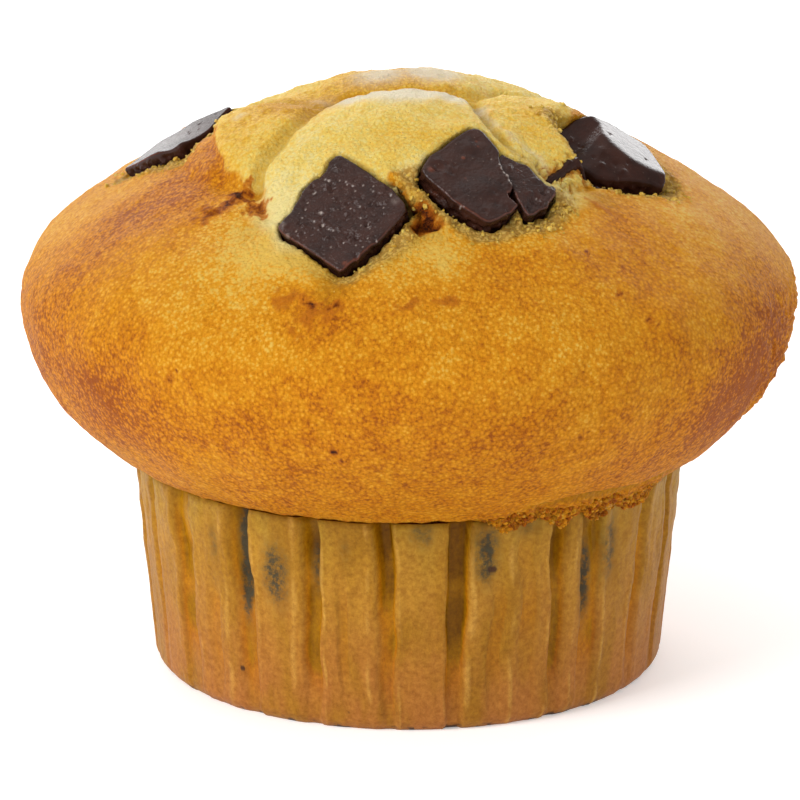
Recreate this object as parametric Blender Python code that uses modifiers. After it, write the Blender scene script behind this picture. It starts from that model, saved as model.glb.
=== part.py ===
"""A chocolate-chunk muffin in its pleated paper case.

The origin is the centre of the case's underside and +Z is up. The side with the three
chunks in a row faces -Y. Lengths are metres; angles are degrees.

The baked cake is one solid: a plain stem inside the case and a wide cap over it, whose
burst top swells in four pillows. The paper case and every chunk of chocolate are solids
of their own, and each keeps a small gap to the cake.
"""
import math

import bmesh
import bpy
from mathutils import Matrix

MM = 0.001
GAP = 0.3 * MM  # air between neighbouring solids

# Paper case: a pleated wall on a flat round base.
BASE_RADIUS = 25.0 * MM  # pleat ridges, at the base
MOUTH_RADIUS = 27.0 * MM  # pleat ridges, at the mouth
CASE_HEIGHT = 21.3 * MM
PAPER = 0.3 * MM
PLEATS = 24
PLEAT_DEPTH_BASE = 0.35 * MM
PLEAT_DEPTH_MOUTH = 1.1 * MM
VALLEY_SHARE = 0.45  # share of each pleat that its valley takes
FIRST_VALLEY = 5.0  # from -Y towards +X
STEPS_PER_PLEAT = 6
WALL_RINGS = 4

# Cake: its cap is turned from two Bezier arcs, given as (radius, height) points.
CROWN = ((0.0, 56.2 * MM), (13.2 * MM, 56.2 * MM), (37.9 * MM, 45.6 * MM), (37.9 * MM, 37.4 * MM))
CAP_RADIUS, CAP_WIDEST_HEIGHT = CROWN[3]
UNDERSIDE = (CROWN[3], (37.9 * MM, 33.0 * MM), (36.1 * MM, 26.4 * MM), (27.4 * MM, 21.6 * MM))
MERIDIANS = 72
CROWN_RINGS = 24
UNDERSIDE_RINGS = 9
STEM_RINGS = 2

# The rim isn't quite round: number of waves, height as a share of the radius, turn.
RIM_WAVES = ((2, 0.006, 45.0), (3, 0.005, 20.0), (5, 0.003, 60.0))

# The burst top: one pillow a line, as centre x and y, half length, half width, turn, height.
PILLOWS = (
    (-0.5 * MM, -13.5 * MM, 14.5 * MM, 11.8 * MM, 0.0, 3.7 * MM),
    (-13.5 * MM, -6.0 * MM, 8.0 * MM, 11.0 * MM, 20.0, 2.4 * MM),
    (12.5 * MM, -6.5 * MM, 7.5 * MM, 10.5 * MM, -15.0, 2.6 * MM),
    (0.0 * MM, 5.5 * MM, 17.0 * MM, 9.0 * MM, 0.0, 2.1 * MM),
)
PILLOW_EDGE = 0.75  # below 1 the pillow's edge is steep
CREASE = 0.35 * MM  # how softly two pillows meet

# Chocolate chunks: slabs broken from a bar and mostly sunk in the crumb. An outline is a
# ring of points in mm about the middle of the slab's top face.
CHUNK_THICKNESS = 3.8 * MM
CHUNK_ROUNDING = 0.5 * MM
WORN_SQUARE = ((5.4, 4.5), (2.1, 4.8), (-3.9, 4.2), (-4.8, 3.1), (-5.4, -2.8), (-4.9, -4.2),
               (-1.5, -5.1), (3.4, -5.2), (4.7, -3.9), (5.5, 2.0))
SNAPPED_SQUARE = ((4.7, 4.3), (3.8, 4.8), (0.1, 4.9), (-4.4, 4.2), (-5.0, 3.3), (-5.2, 0.5),
                  (-5.0, -3.0), (-4.1, -4.0), (-2.5, -4.6), (0.0, -4.6), (1.0, -2.3), (2.4, 0.0),
                  (4.4, 2.7))
CHIP = ((1.7, 3.6), (0.9, 3.2), (-0.6, 0.8), (-1.6, -1.2), (-1.8, -3.0), (0.2, -3.6), (2.3, -2.5),
        (2.6, 0.6), (2.1, 2.4))
SLUMPED = ((3.4, 4.9), (-0.5, 4.9), (-4.3, 3.6), (-5.4, 1.0), (-5.2, -2.6), (-3.8, -4.0),
           (0.2, -5.0), (4.0, -5.0), (5.2, -3.6), (5.2, 3.4))
SQUARE = ((4.5, 4.2), (-4.2, 4.5), (-4.5, -4.2), (4.3, -4.5))
LONG_SQUARE = ((4.9, 4.1), (-4.6, 4.3), (-4.8, -4.0), (4.7, -4.4))

# name: outline, x and y of the top face's centre and how far that face stands proud of the
# crust (mm), its tilt from level, the direction it tilts to from -Y, and its own spin.
CHUNKS = {
    "chunk_front_left": (WORN_SQUARE, -6.2, -24.0, 0.7, 39.0, -18.0, 66.0),
    "chunk_front_centre": (SNAPPED_SQUARE, 6.9, -20.6, 0.3, 36.0, 23.0, 33.4),
    "chunk_front_chip": (CHIP, 10.8, -19.2, 0.6, 37.0, 27.0, 31.0),
    "chunk_right": (SLUMPED, 18.6, -8.0, 0.7, 31.2, 74.5, -16.7),
    "chunk_left": (SQUARE, -22.1, 3.8, 0.9, 30.7, -93.5, 54.5),
    "chunk_back_left": (LONG_SQUARE, -12.5, 18.5, 0.5, 26.0, -146.0, 15.0),
    "chunk_back_right": (SQUARE, 11.0, 20.5, 0.5, 28.0, 152.0, -35.0),
}


def clear_scene():
    for item in list(bpy.data.objects):
        bpy.data.objects.remove(item, do_unlink=True)


def new_collection(name):
    collection = bpy.data.collections.new(name)
    bpy.context.scene.collection.children.link(collection)
    return collection


def new_material(name, colour, roughness):
    material = bpy.data.materials.new(name)
    material.use_nodes = True
    shader = material.node_tree.nodes["Principled BSDF"]
    shader.inputs["Base Color"].default_value = (*colour, 1.0)
    shader.inputs["Roughness"].default_value = roughness
    shader.inputs["Metallic"].default_value = 0.0
    return material


def add_object(name, mesh, collection, material=None):
    item = bpy.data.objects.new(name, mesh)
    collection.objects.link(item)
    if material:
        mesh.materials.append(material)
    return item


def turned(name, profile, meridians, collection, material):
    """Turn a profile of (radius, height) points about +Z and return it as a plain mesh object."""
    mesh = bpy.data.meshes.new(name + "_profile")
    edges = [(i, i + 1) for i in range(len(profile) - 1)]
    mesh.from_pydata([(radius, 0.0, height) for radius, height in profile], edges, [])
    guide = add_object(name + "_profile", mesh, collection)
    screw = guide.modifiers.new("turn", "SCREW")
    screw.steps = meridians
    screw.render_steps = meridians
    screw.use_merge_vertices = True
    screw.merge_threshold = 0.00001
    bpy.context.view_layer.update()
    evaluated = guide.evaluated_get(bpy.context.evaluated_depsgraph_get())
    solid = bpy.data.meshes.new_from_object(evaluated)
    bpy.data.objects.remove(guide, do_unlink=True)
    shape = bmesh.new()
    shape.from_mesh(solid)
    bmesh.ops.remove_doubles(shape, verts=shape.verts, dist=0.00001)
    bmesh.ops.recalc_face_normals(shape, faces=shape.faces)
    shape.to_mesh(solid)
    shape.free()
    solid.name = name
    return add_object(name, solid, collection, material)


def bezier(points, share):
    """The (radius, height) point at a share of the way along a cubic Bezier arc."""
    rest = 1.0 - share
    weights = (rest ** 3, 3.0 * rest ** 2 * share, 3.0 * rest * share ** 2, share ** 3)
    return tuple(sum(w * point[axis] for w, point in zip(weights, points)) for axis in (0, 1))


def crown_height(radius):
    """Height of the unburst crust at a distance from the axis, found by halving."""
    low, high = 0.0, 1.0
    for _ in range(30):
        middle = 0.5 * (low + high)
        if bezier(CROWN, middle)[0] < radius:
            low = middle
        else:
            high = middle
    return bezier(CROWN, high)[1]


def pillow_height(x, y):
    """Height that the burst top adds to the crust; the pillows meet in creases."""
    total = 0.0
    for centre_x, centre_y, half_length, half_width, turn, height in PILLOWS:
        angle = math.radians(turn)
        along = (x - centre_x) * math.cos(angle) + (y - centre_y) * math.sin(angle)
        across = (y - centre_y) * math.cos(angle) - (x - centre_x) * math.sin(angle)
        inside = max(0.0, 1.0 - (along / half_length) ** 2 - (across / half_width) ** 2)
        total += math.exp(height * inside ** PILLOW_EDGE / CREASE) - 1.0
    return CREASE * math.log(1.0 + total)


def crust_height(x, y):
    return crown_height(math.hypot(x, y)) + pillow_height(x, y)


def cake_profile():
    """The cake's outline from the top of its axis, over the cap and down the stem."""
    points = [bezier(CROWN, ring / CROWN_RINGS) for ring in range(CROWN_RINGS + 1)]
    points += [bezier(UNDERSIDE, ring / UNDERSIDE_RINGS) for ring in range(1, UNDERSIDE_RINGS + 1)]
    ledge = UNDERSIDE[3][1]
    clear = PAPER + 1.2 * GAP
    stem_top = MOUTH_RADIUS - PLEAT_DEPTH_MOUTH - clear
    stem_base = BASE_RADIUS - PLEAT_DEPTH_BASE - clear
    floor = PAPER + GAP
    for ring in range(STEM_RINGS + 1):
        share = ring / STEM_RINGS
        points.append((stem_top + (stem_base - stem_top) * share, ledge + (floor - ledge) * share))
    points.append((0.0, floor))
    return points


def rim_scale(x, y):
    turn = math.atan2(x, -y)
    return 1.0 + sum(
        share * math.cos(waves * turn - math.radians(start)) for waves, share, start in RIM_WAVES
    )


def make_cake(collection, material):
    cake = turned("cake", cake_profile(), MERIDIANS, collection, material)
    under_cap = UNDERSIDE[3][1] + GAP
    for vertex in cake.data.vertices:
        x, y, z = vertex.co
        if z < under_cap:
            continue
        share = min(1.0, (z - under_cap) / (CAP_WIDEST_HEIGHT - under_cap))
        scale = 1.0 + (rim_scale(x, y) - 1.0) * share
        if z > CAP_WIDEST_HEIGHT:
            z += pillow_height(x, y)
        vertex.co = (x * scale, y * scale, z)
    cake.data.shade_smooth()
    return cake


def pleat_depth_share(turn):
    """0 on a pleat's flat ridge, 1 at the bottom of its valley, for an angle from -Y."""
    place = ((turn - FIRST_VALLEY) * PLEATS / 360.0 + 0.5) % 1.0 - 0.5
    return 0.5 + 0.5 * math.cos(math.pi * min(1.0, abs(place) / (0.5 * VALLEY_SHARE)))


def make_paper_case(collection, material):
    profile = [(0.0, 0.0)]
    for ring in range(WALL_RINGS + 1):
        share = ring / WALL_RINGS
        profile.append((BASE_RADIUS + (MOUTH_RADIUS - BASE_RADIUS) * share, CASE_HEIGHT * share))
    case = turned("paper_case", profile, PLEATS * STEPS_PER_PLEAT, collection, material)
    for vertex in case.data.vertices:
        x, y, z = vertex.co
        radius = math.hypot(x, y)
        if radius < 0.5 * BASE_RADIUS:
            continue
        depth = PLEAT_DEPTH_BASE + (PLEAT_DEPTH_MOUTH - PLEAT_DEPTH_BASE) * z / CASE_HEIGHT
        pleated = radius - depth * pleat_depth_share(math.degrees(math.atan2(x, -y)))
        vertex.co = (x * pleated / radius, y * pleated / radius, z)
    wall = case.modifiers.new("paper", "SOLIDIFY")
    wall.thickness = PAPER
    wall.offset = -1.0
    case.data.shade_smooth()
    return case


def slab(name, outline, thickness, margin, collection, material):
    """A slab with its top at z = 0, grown by a margin on every side but the top."""
    curve = bpy.data.curves.new(name, "CURVE")
    curve.dimensions = "2D"
    curve.fill_mode = "BOTH"
    curve.extrude = 0.5 * (thickness + margin)
    spline = curve.splines.new("POLY")
    spline.points.add(len(outline) - 1)
    for point, (u, v) in zip(spline.points, outline):
        reach = 1.0 + 1.5 * margin / (math.hypot(u, v) * MM)
        point.co = (u * MM * reach, v * MM * reach, 0.0, 1.0)
    spline.use_cyclic_u = True
    guide = bpy.data.objects.new(name + "_outline", curve)
    collection.objects.link(guide)
    bpy.context.view_layer.update()
    evaluated = guide.evaluated_get(bpy.context.evaluated_depsgraph_get())
    mesh = bpy.data.meshes.new_from_object(evaluated)
    bpy.data.objects.remove(guide, do_unlink=True)
    shape = bmesh.new()
    shape.from_mesh(mesh)
    bmesh.ops.remove_doubles(shape, verts=shape.verts, dist=0.00001)
    bmesh.ops.dissolve_limit(shape, angle_limit=0.01, verts=shape.verts, edges=shape.edges)
    bmesh.ops.translate(shape, verts=shape.verts, vec=(0.0, 0.0, -0.5 * (thickness + margin)))
    bmesh.ops.recalc_face_normals(shape, faces=shape.faces)
    shape.to_mesh(mesh)
    shape.free()
    mesh.name = name
    return add_object(name, mesh, collection, material)


def place(item, x, y, proud, tilt, towards, spin):
    """Set a slab's top face on the crust: tilted towards a direction counted from -Y."""
    turn = (
        Matrix.Rotation(math.radians(towards), 4, "Z")
        @ Matrix.Rotation(math.radians(tilt), 4, "X")
        @ Matrix.Rotation(math.radians(spin), 4, "Z")
    )
    lift = turn.to_3x3().col[2] * proud
    item.matrix_world = Matrix.Translation((x, y, crust_height(x, y))) @ turn
    item.location += lift


def make_chunk(name, cake, parts, cutters, material):
    """One chunk, and the pocket that it fills in the cake."""
    outline, x, y, proud, tilt, towards, spin = CHUNKS[name]
    seat = (x * MM, y * MM, proud * MM, tilt, towards, spin)
    chunk = slab(name, outline, CHUNK_THICKNESS, 0.0, parts, material)
    place(chunk, *seat)
    rounding = chunk.modifiers.new("worn edges", "BEVEL")
    rounding.width = CHUNK_ROUNDING
    rounding.segments = 2
    chunk.data.shade_smooth()
    cutter = slab(name + "_pocket", outline, 2.0 * CHUNK_THICKNESS, 1.1 * GAP, cutters, None)
    place(cutter, *seat[:2], seat[2] + CHUNK_THICKNESS, *seat[3:])
    cutter.hide_render = True
    cutter.display_type = "WIRE"
    pocket = cake.modifiers.new(name, "BOOLEAN")
    pocket.operation = "DIFFERENCE"
    pocket.solver = "EXACT"
    pocket.object = cutter


def main():
    clear_scene()
    parts = new_collection("muffin")
    cutters = new_collection("muffin_cutters")
    crumb = new_material("baked_crumb", (0.61, 0.32, 0.07), 0.7)
    paper = new_material("baking_paper", (0.50, 0.27, 0.08), 0.6)
    chocolate = new_material("dark_chocolate", (0.035, 0.018, 0.016), 0.35)
    cake = make_cake(parts, crumb)
    make_paper_case(parts, paper)
    for name in CHUNKS:
        make_chunk(name, cake, parts, cutters, chocolate)


main()
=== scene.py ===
# %% [markdown]
# # A chocolate-chunk muffin in its pleated paper case
# The cake is a wide mushroom cap over a plain stem. Its top burst open in the oven, so four
# pale pillows of crumb push through the golden crust, with squares of dark chocolate sunk in
# and around them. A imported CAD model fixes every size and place. This script dresses it.

# %% Load the fixed frame
import math

import bmesh
import bpy
import numpy as np
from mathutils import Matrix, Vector, noise


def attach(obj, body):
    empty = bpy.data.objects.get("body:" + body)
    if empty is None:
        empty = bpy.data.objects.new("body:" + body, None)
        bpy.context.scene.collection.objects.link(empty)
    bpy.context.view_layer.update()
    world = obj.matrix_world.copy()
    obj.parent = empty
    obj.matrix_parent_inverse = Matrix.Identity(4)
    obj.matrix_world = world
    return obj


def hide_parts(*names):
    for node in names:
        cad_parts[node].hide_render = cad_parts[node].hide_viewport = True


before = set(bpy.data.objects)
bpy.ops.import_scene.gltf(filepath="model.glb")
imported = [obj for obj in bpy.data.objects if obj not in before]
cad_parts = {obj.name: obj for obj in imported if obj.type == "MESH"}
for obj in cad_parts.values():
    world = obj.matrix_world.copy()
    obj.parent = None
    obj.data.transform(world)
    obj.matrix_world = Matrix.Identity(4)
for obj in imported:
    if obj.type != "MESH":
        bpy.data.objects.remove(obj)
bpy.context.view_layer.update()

# %% [markdown]
# ## Small helpers
# Shapes are worked out in millimetres with numpy and turned into metres when a mesh is made.
# Bumps in baked crumb look right when they are smooth noise at a size you can name, so one
# helper returns noise with its bump size in millimetres.

# %% Numbers and noise
MM = 0.001


def bumps(points, size, seed):
    """Smooth heights of about -0.7 to 0.7, in bumps roughly `size` mm across."""
    shift = np.array((17.3, 5.1, 9.7)) * (seed + 1)
    return np.array([noise.noise(place) for place in (points / size + shift).tolist()])


def rough(points, *layers):
    """Bumps of several sizes added up, from (height, size, seed) in mm."""
    return sum(height * bumps(points, size, seed) for height, size, seed in layers)


def ramp(values, low, high):
    """0 below low, 1 above high and a smooth slope between; low may be above high."""
    share = np.clip((values - low) / (high - low), 0.0, 1.0)
    return share * share * (3.0 - 2.0 * share)


def distance_to(points, path):
    """Shortest distance from each point to a path through the given corners."""
    best = np.full(len(points), 1e9)
    for start, end in zip(path[:-1], path[1:]):
        run = np.array(end, float) - np.array(start, float)
        share = np.clip(((points - np.array(start)) @ run) / (run @ run), 0.0, 1.0)
        gap = points - np.array(start) - share[:, None] * run
        best = np.minimum(best, np.linalg.norm(gap, axis=1))
    return best


# %% Meshes from arrays
def new_piece(name, points, faces):
    """A smooth mesh object from points in mm and a list of faces."""
    mesh = bpy.data.meshes.new(name)
    mesh.from_pydata((np.asarray(points) * MM).tolist(), [], faces)
    mesh.update()
    mesh.shade_smooth()
    piece = bpy.data.objects.new(name, mesh)
    bpy.context.scene.collection.objects.link(piece)
    return piece


# %% Read and move a mesh
def points_of(piece):
    """A piece's vertices in mm."""
    flat = np.empty(3 * len(piece.data.vertices), np.float32)
    piece.data.vertices.foreach_get("co", flat)
    return flat.reshape(-1, 3).astype(float) / MM


def normals_of(piece):
    """The direction that each vertex faces."""
    flat = np.empty(3 * len(piece.data.vertices), np.float32)
    piece.data.vertex_normals.foreach_get("vector", flat)
    return flat.reshape(-1, 3).astype(float)


def move_points(piece, points):
    """Put a piece's vertices at new places in mm."""
    piece.data.vertices.foreach_set("co", (points * MM).astype(np.float32).ravel())
    piece.data.update()


def paint(piece, name, values):
    """Store one number a vertex, for a material to read."""
    layer = piece.data.attributes.new(name, "FLOAT", "POINT")
    layer.data.foreach_set("value", np.asarray(values, np.float32))


def freeze(piece):
    """Turn the result of a piece's modifiers into its plain mesh."""
    graph = bpy.context.evaluated_depsgraph_get()
    mesh = bpy.data.meshes.new_from_object(
        piece.evaluated_get(graph), preserve_all_data_layers=True, depsgraph=graph
    )
    piece.modifiers.clear()
    piece.data = mesh
    return piece


# %% Nodes from one call
def wire(tree, kind, inputs=None, **settings):
    """Add a node. An input may be a value or the output socket that feeds it."""
    made = tree.nodes.new(kind)
    for key, value in settings.items():
        setattr(made, key, value)
    for key, value in (inputs or {}).items():
        if isinstance(value, bpy.types.NodeSocket):
            tree.links.new(value, made.inputs[key])
        else:
            made.inputs[key].default_value = value
    return made


# %% Arithmetic and colours as nodes
def linear(red, green, blue):
    """A screen colour, 0 to 255, as the linear colour that nodes use."""
    parts = [part / 255.0 for part in (red, green, blue)]
    return tuple(
        part / 12.92 if part <= 0.04045 else ((part + 0.055) / 1.055) ** 2.4 for part in parts
    ) + (1.0,)


def arithmetic(tree, operation, first, second=0.0):
    """One step of arithmetic as a node."""
    return wire(tree, "ShaderNodeMath", {0: first, 1: second}, operation=operation).outputs[0]


def times(tree, first, second):
    """A product, as a node."""
    return arithmetic(tree, "MULTIPLY", first, second)


def add(tree, first, *others):
    """A sum of any number of values, as nodes."""
    for value in others:
        first = arithmetic(tree, "ADD", first, value)
    return first


def around(tree, value, amount):
    """Noise of 0 to 1 turned into a swing about zero."""
    return times(tree, arithmetic(tree, "SUBTRACT", value, 0.5), amount)


def blend(tree, share, first, second, mode="MIX"):
    """Mix two colours, or lay the second over the first in another mode."""
    inputs = {"Factor": share, 6: first, 7: second}
    return wire(tree, "ShaderNodeMix", inputs, data_type="RGBA", blend_type=mode).outputs[2]


# %% Noise, ranges and painted values as nodes
def speckle(tree, place, size, detail=3.0, roughness=0.55):
    """Noise whose patches are about `size` mm across."""
    inputs = {"Vector": place, "Scale": 1.0 / (size * MM), "Detail": detail, "Roughness": roughness}
    return wire(tree, "ShaderNodeTexNoise", inputs).outputs["Fac"]


def remap(tree, value, low, high, to_low=0.0, to_high=1.0):
    """A value between low and high, moved smoothly to another range."""
    inputs = {"Value": value, "From Min": low, "From Max": high, "To Min": to_low, "To Max": to_high}
    return wire(tree, "ShaderNodeMapRange", inputs, interpolation_type="SMOOTHSTEP").outputs[0]


def overlay(tree, colour, value, low, high, most, screen_colour):
    """Lay a screen colour over another where a value goes from low to high, at most so much."""
    return blend(tree, remap(tree, value, low, high, 0.0, most), colour, linear(*screen_colour))


def painted(tree, name):
    """A value that paint() stored, read inside a material."""
    return wire(tree, "ShaderNodeAttribute", attribute_name=name).outputs["Fac"]


def colour_ramp(tree, value, stops):
    """Screen colours spread along a value, from (place, colour) stops."""
    made = wire(tree, "ShaderNodeValToRGB", {"Fac": value})
    steps = made.color_ramp.elements
    while len(steps) < len(stops):
        steps.new(0.5)
    for step, (place, colour) in zip(steps, stops):
        step.position = place
        step.color = linear(*colour)
    return made.outputs["Color"]


# %% A new material
def new_finish(name, **values):
    """A material with its shader's constant values set; returns it, its tree and its shader."""
    material = bpy.data.materials.new(name)
    material.use_nodes = True
    shader = material.node_tree.nodes["Principled BSDF"]
    for key, value in values.items():
        shader.inputs[key.replace("_", " ")].default_value = value
    return material, material.node_tree, shader


# %% [markdown]
# ## The cap's outline
# In the oven, batter rises over the case and sets as a mushroom cap. Its outline is two
# Bezier arcs, the same that the CAD solid is turned from. The pillows are smooth domes that
# meet in creases. Using the CAD's own numbers keeps the dressed cake on its solid.

# %% Cap and pillow sizes, mm
CROWN = ((0.0, 56.2), (13.2, 56.2), (37.9, 45.6), (37.9, 37.4))
UNDERSIDE = ((37.9, 37.4), (37.9, 33.0), (36.1, 26.4), (27.4, 21.6))
WIDEST_HEIGHT = 37.4
LEDGE_HEIGHT = 21.6
RIM_WAVES = ((2, 0.006, 45.0), (3, 0.005, 20.0), (5, 0.003, 60.0))
PILLOWS = (
    (-0.5, -13.5, 14.5, 11.8, 0.0, 3.7),
    (-13.5, -6.0, 8.0, 11.0, 20.0, 2.4),
    (12.5, -6.5, 7.5, 10.5, -15.0, 2.6),
    (0.0, 5.5, 17.0, 9.0, 0.0, 2.1),
)
PILLOW_EDGE = 0.75
CREASE = 0.2


# %% The arcs and the burst top
def bezier(corners, share):
    """Radius and height, share of the way along a cubic arc."""
    corners = np.array(corners)
    rest = 1.0 - share
    weights = np.stack((rest ** 3, 3 * rest ** 2 * share, 3 * rest * share ** 2, share ** 3))
    return weights.T @ corners


def burst_height(x, y):
    """How far the burst top stands over the crust: the pillows' smooth maximum."""
    total = 0.0
    for centre_x, centre_y, half_length, half_width, turn, height in PILLOWS:
        angle = math.radians(turn)
        along = (x - centre_x) * math.cos(angle) + (y - centre_y) * math.sin(angle)
        across = (y - centre_y) * math.cos(angle) - (x - centre_x) * math.sin(angle)
        inside = np.maximum(0.0, 1.0 - (along / half_length) ** 2 - (across / half_width) ** 2)
        total = total + np.exp(height * inside ** PILLOW_EDGE / CREASE) - 1.0
    return CREASE * np.log(1.0 + total)


# %% [markdown]
# ## The chunks' seats
# Each square of chocolate sank a little way into the batter. Its seat, the plane of its top
# face, is read from the CAD chunk as a centre and three axes: across, uphill and out. The
# outlines below are drawn in that plane, with the chips and wavy edges that snapping leaves.

# %% Read a seat from a CAD chunk
def seat_of(node):
    """Centre in mm and axes (across, uphill, out) of a chunk's top face."""
    faces = [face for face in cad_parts[node].data.polygons if face.normal.z > 0.3]
    out = max(faces, key=lambda face: face.area).normal.copy()
    top = [face for face in faces if face.normal.dot(out) > 0.999]
    area = sum(face.area for face in top)
    centre = sum((face.center * face.area for face in top), Vector()) / area
    across = Vector((0.0, 0.0, 1.0)).cross(out).normalized()
    return {"centre": np.array(centre) / MM, "axes": np.array((across, out.cross(across), out))}


def in_seat(seat, points):
    """Points as (across, uphill, out) from a seat, in mm."""
    return (points - seat["centre"]) @ seat["axes"].T


def from_seat(seat, local):
    """The way back: points of a seat as plain points in mm."""
    return local @ seat["axes"] + seat["centre"]


# %% How far a place is from an outline
def outline_gap(outline, flat):
    """Distance from a closed outline in its own plane: below zero inside it."""
    ends = np.array(outline, float)
    best = np.full(len(flat), 1e9)
    inside = np.zeros(len(flat), bool)
    for start, end in zip(ends, np.roll(ends, -1, axis=0)):
        best = np.minimum(best, distance_to(flat, (start, end)))
        spans = (start[1] > flat[:, 1]) != (end[1] > flat[:, 1])
        rise = end[1] - start[1] if abs(end[1] - start[1]) > 1e-9 else 1e-9
        cross = start[0] + (flat[:, 1] - start[1]) * (end[0] - start[0]) / rise
        inside ^= spans & (flat[:, 0] < cross)
    return np.where(inside, -best, best)


# %% Outlines of the chunks, mm in the plane of each top face
OUTLINES = {
    "chunk_front_left": (
        (-2.4, 6.8), (-1.9, 6.9), (-1.3, 6.6), (-0.8, 6.3), (0.6, 5.6), (1.2, 5.3), (2.3, 4.5),
        (2.9, 4.2), (4.1, 3.5), (4.7, 2.9), (5.3, 2.4), (5.7, 1.9), (5.8, 1.3), (5.6, 0.6),
        (5.3, -0.2), (4.7, -1.8), (4.3, -2.6), (3.7, -3.2), (3.2, -3.9), (2.7, -4.8), (2.2, -5.5),
        (1.8, -6.3), (1.4, -6.5), (0.8, -6.1), (-0.8, -5.1), (-1.7, -4.6), (-3.3, -3.7),
        (-4.8, -3.0), (-5.6, -2.3), (-5.8, -1.9), (-5.4, -0.8), (-5.0, -0.1), (-4.9, 0.6),
        (-4.6, 1.8), (-4.6, 2.3), (-4.1, 3.4), (-3.9, 3.8), (-3.2, 4.5), (-3.0, 4.9), (-2.9, 6.2),
    ),
    "chunk_front_centre": (
        (1.9, 6.4), (2.5, 6.5), (3.0, 6.3), (3.3, 5.9), (3.5, 5.2), (4.0, 3.8), (4.1, 3.3),
        (3.8, 2.5), (3.6, 1.3), (3.8, 0.4), (3.9, -0.5), (3.9, -1.1), (3.5, -1.6), (3.1, -1.7),
        (3.1, -2.2), (3.4, -2.7), (3.7, -3.3), (2.9, -3.9), (2.0, -4.3), (1.0, -4.8), (0.3, -5.0),
        (-0.2, -4.9), (-0.7, -4.4), (-1.5, -3.3), (-2.6, -1.9), (-3.5, -0.1), (-3.9, 0.7),
        (-4.2, 1.4), (-4.3, 2.1), (-3.9, 2.7), (-2.9, 3.7), (-1.4, 4.5), (-0.6, 5.0), (0.3, 5.6),
    ),
    "chunk_front_chip": (
        (-1.6, 4.2), (-0.9, 3.4), (-0.3, 2.9), (0.3, 2.6), (0.6, 2.1), (0.9, 0.9), (1.2, 0.1),
        (1.5, -0.2), (1.9, -0.2), (2.1, -0.6), (1.8, -1.3), (1.3, -1.7), (0.8, -2.1), (0.3, -2.8),
        (-0.5, -2.9), (-1.4, -3.3), (-2.1, -3.4), (-2.2, -2.6), (-2.3, -2.0), (-2.4, -1.3),
        (-2.3, -0.6), (-2.4, 0.3), (-2.8, 1.7), (-2.9, 2.6), (-2.6, 3.6),
    ),
    "chunk_right": (
        (2.2, 4.8), (3.8, 4.5), (4.9, 3.9), (5.5, 3.4), (6.0, 2.7), (6.5, 2.0), (6.8, 1.2),
        (6.9, 0.4), (7.0, -0.6), (7.1, -1.7), (6.9, -2.5), (6.2, -3.3), (5.5, -4.0), (4.6, -4.8),
        (3.5, -5.6), (2.2, -6.3), (1.4, -6.5), (0.8, -5.4), (-0.2, -4.5), (-1.2, -3.4),
        (-2.3, -2.4), (-3.0, -1.6), (-3.4, -0.9), (-3.3, -0.2), (-3.1, 0.7), (-2.8, 1.6),
        (-1.7, 2.8), (-0.9, 3.7), (-0.5, 4.5), (0.3, 5.3), (1.2, 5.5),
    ),
    "chunk_left": (
        (0.8, -6.1), (1.8, -4.7), (3.3, -2.9), (4.6, -1.1), (6.1, 0.7), (6.0, 1.2), (4.8, 2.3),
        (3.2, 3.3), (1.5, 4.6), (-0.3, 6.0), (-1.0, 5.8), (-2.6, 4.0), (-4.4, 1.6), (-6.0, -0.7),
        (-5.7, -1.2), (-3.6, -2.9), (-1.3, -4.6), (0.4, -6.1),
    ),
    "chunk_back_left": (
        (3.7, 5.2), (1.0, 4.7), (-2.2, 3.9), (-5.4, 3.1), (-5.5, 2.5), (-4.6, -0.9), (-3.7, -4.7),
        (-3.2, -5.0), (-0.4, -4.3), (2.6, -3.9), (5.4, -3.1), (5.6, -2.7), (4.9, 0.4), (4.3, 3.1),
    ),
    "chunk_back_right": (
        (6.0, 0.9), (3.6, 2.8), (1.4, 4.2), (-0.8, 6.0), (-1.4, 5.6), (-3.2, 3.1), (-4.5, 1.4),
        (-6.0, -0.7), (-5.6, -1.4), (-3.3, -2.9), (-1.2, -4.7), (0.9, -6.0), (1.5, -5.6),
        (3.5, -2.8), (4.7, -1.2),
    ),
}
SEATS = {name: seat_of(name) for name in OUTLINES}
for name, seat in SEATS.items():
    print(name, "top face at", seat["centre"].round(1))

# %% [markdown]
# ## The cake's mesh
# A grid squeezed from a square into a disc covers the crown without the crowded pole that a
# turned shape has. Rings carry on from the disc's edge, round the rim, under the cap and down
# the stem, so the cake is one closed skin.

# %% Grid and rings
CROWN_CELLS = 236
UNDERSIDE_RINGS = 40
STEM_TOP, STEM_BASE, STEM_FLOOR = 24.7, 23.4, 0.7
STEM_RINGS = 3


def disc_grid(cells):
    """x and y of a square grid squeezed into a disc of radius 1, finest where the chunks sit."""
    even = np.linspace(-1.0, 1.0, 4001)
    density = 1.0 + 0.9 * np.exp(-((np.abs(even) - 0.42) / 0.18) ** 2)
    total = np.concatenate(([0.0], np.cumsum((density[1:] + density[:-1]) / 2.0)))
    line = np.interp(np.linspace(0.0, total[-1], cells + 1), total, even)
    a, b = np.meshgrid(line, line, indexing="ij")
    wide = np.abs(a) > np.abs(b)
    safe_a = np.where(a == 0.0, 1.0, a)
    safe_b = np.where(b == 0.0, 1.0, b)
    turn = np.where(wide, b / safe_a, 2.0 - a / safe_b) * math.pi / 4.0
    radius = np.where(wide, a, b)
    return (radius * np.cos(turn)).ravel(), (radius * np.sin(turn)).ravel()


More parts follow.
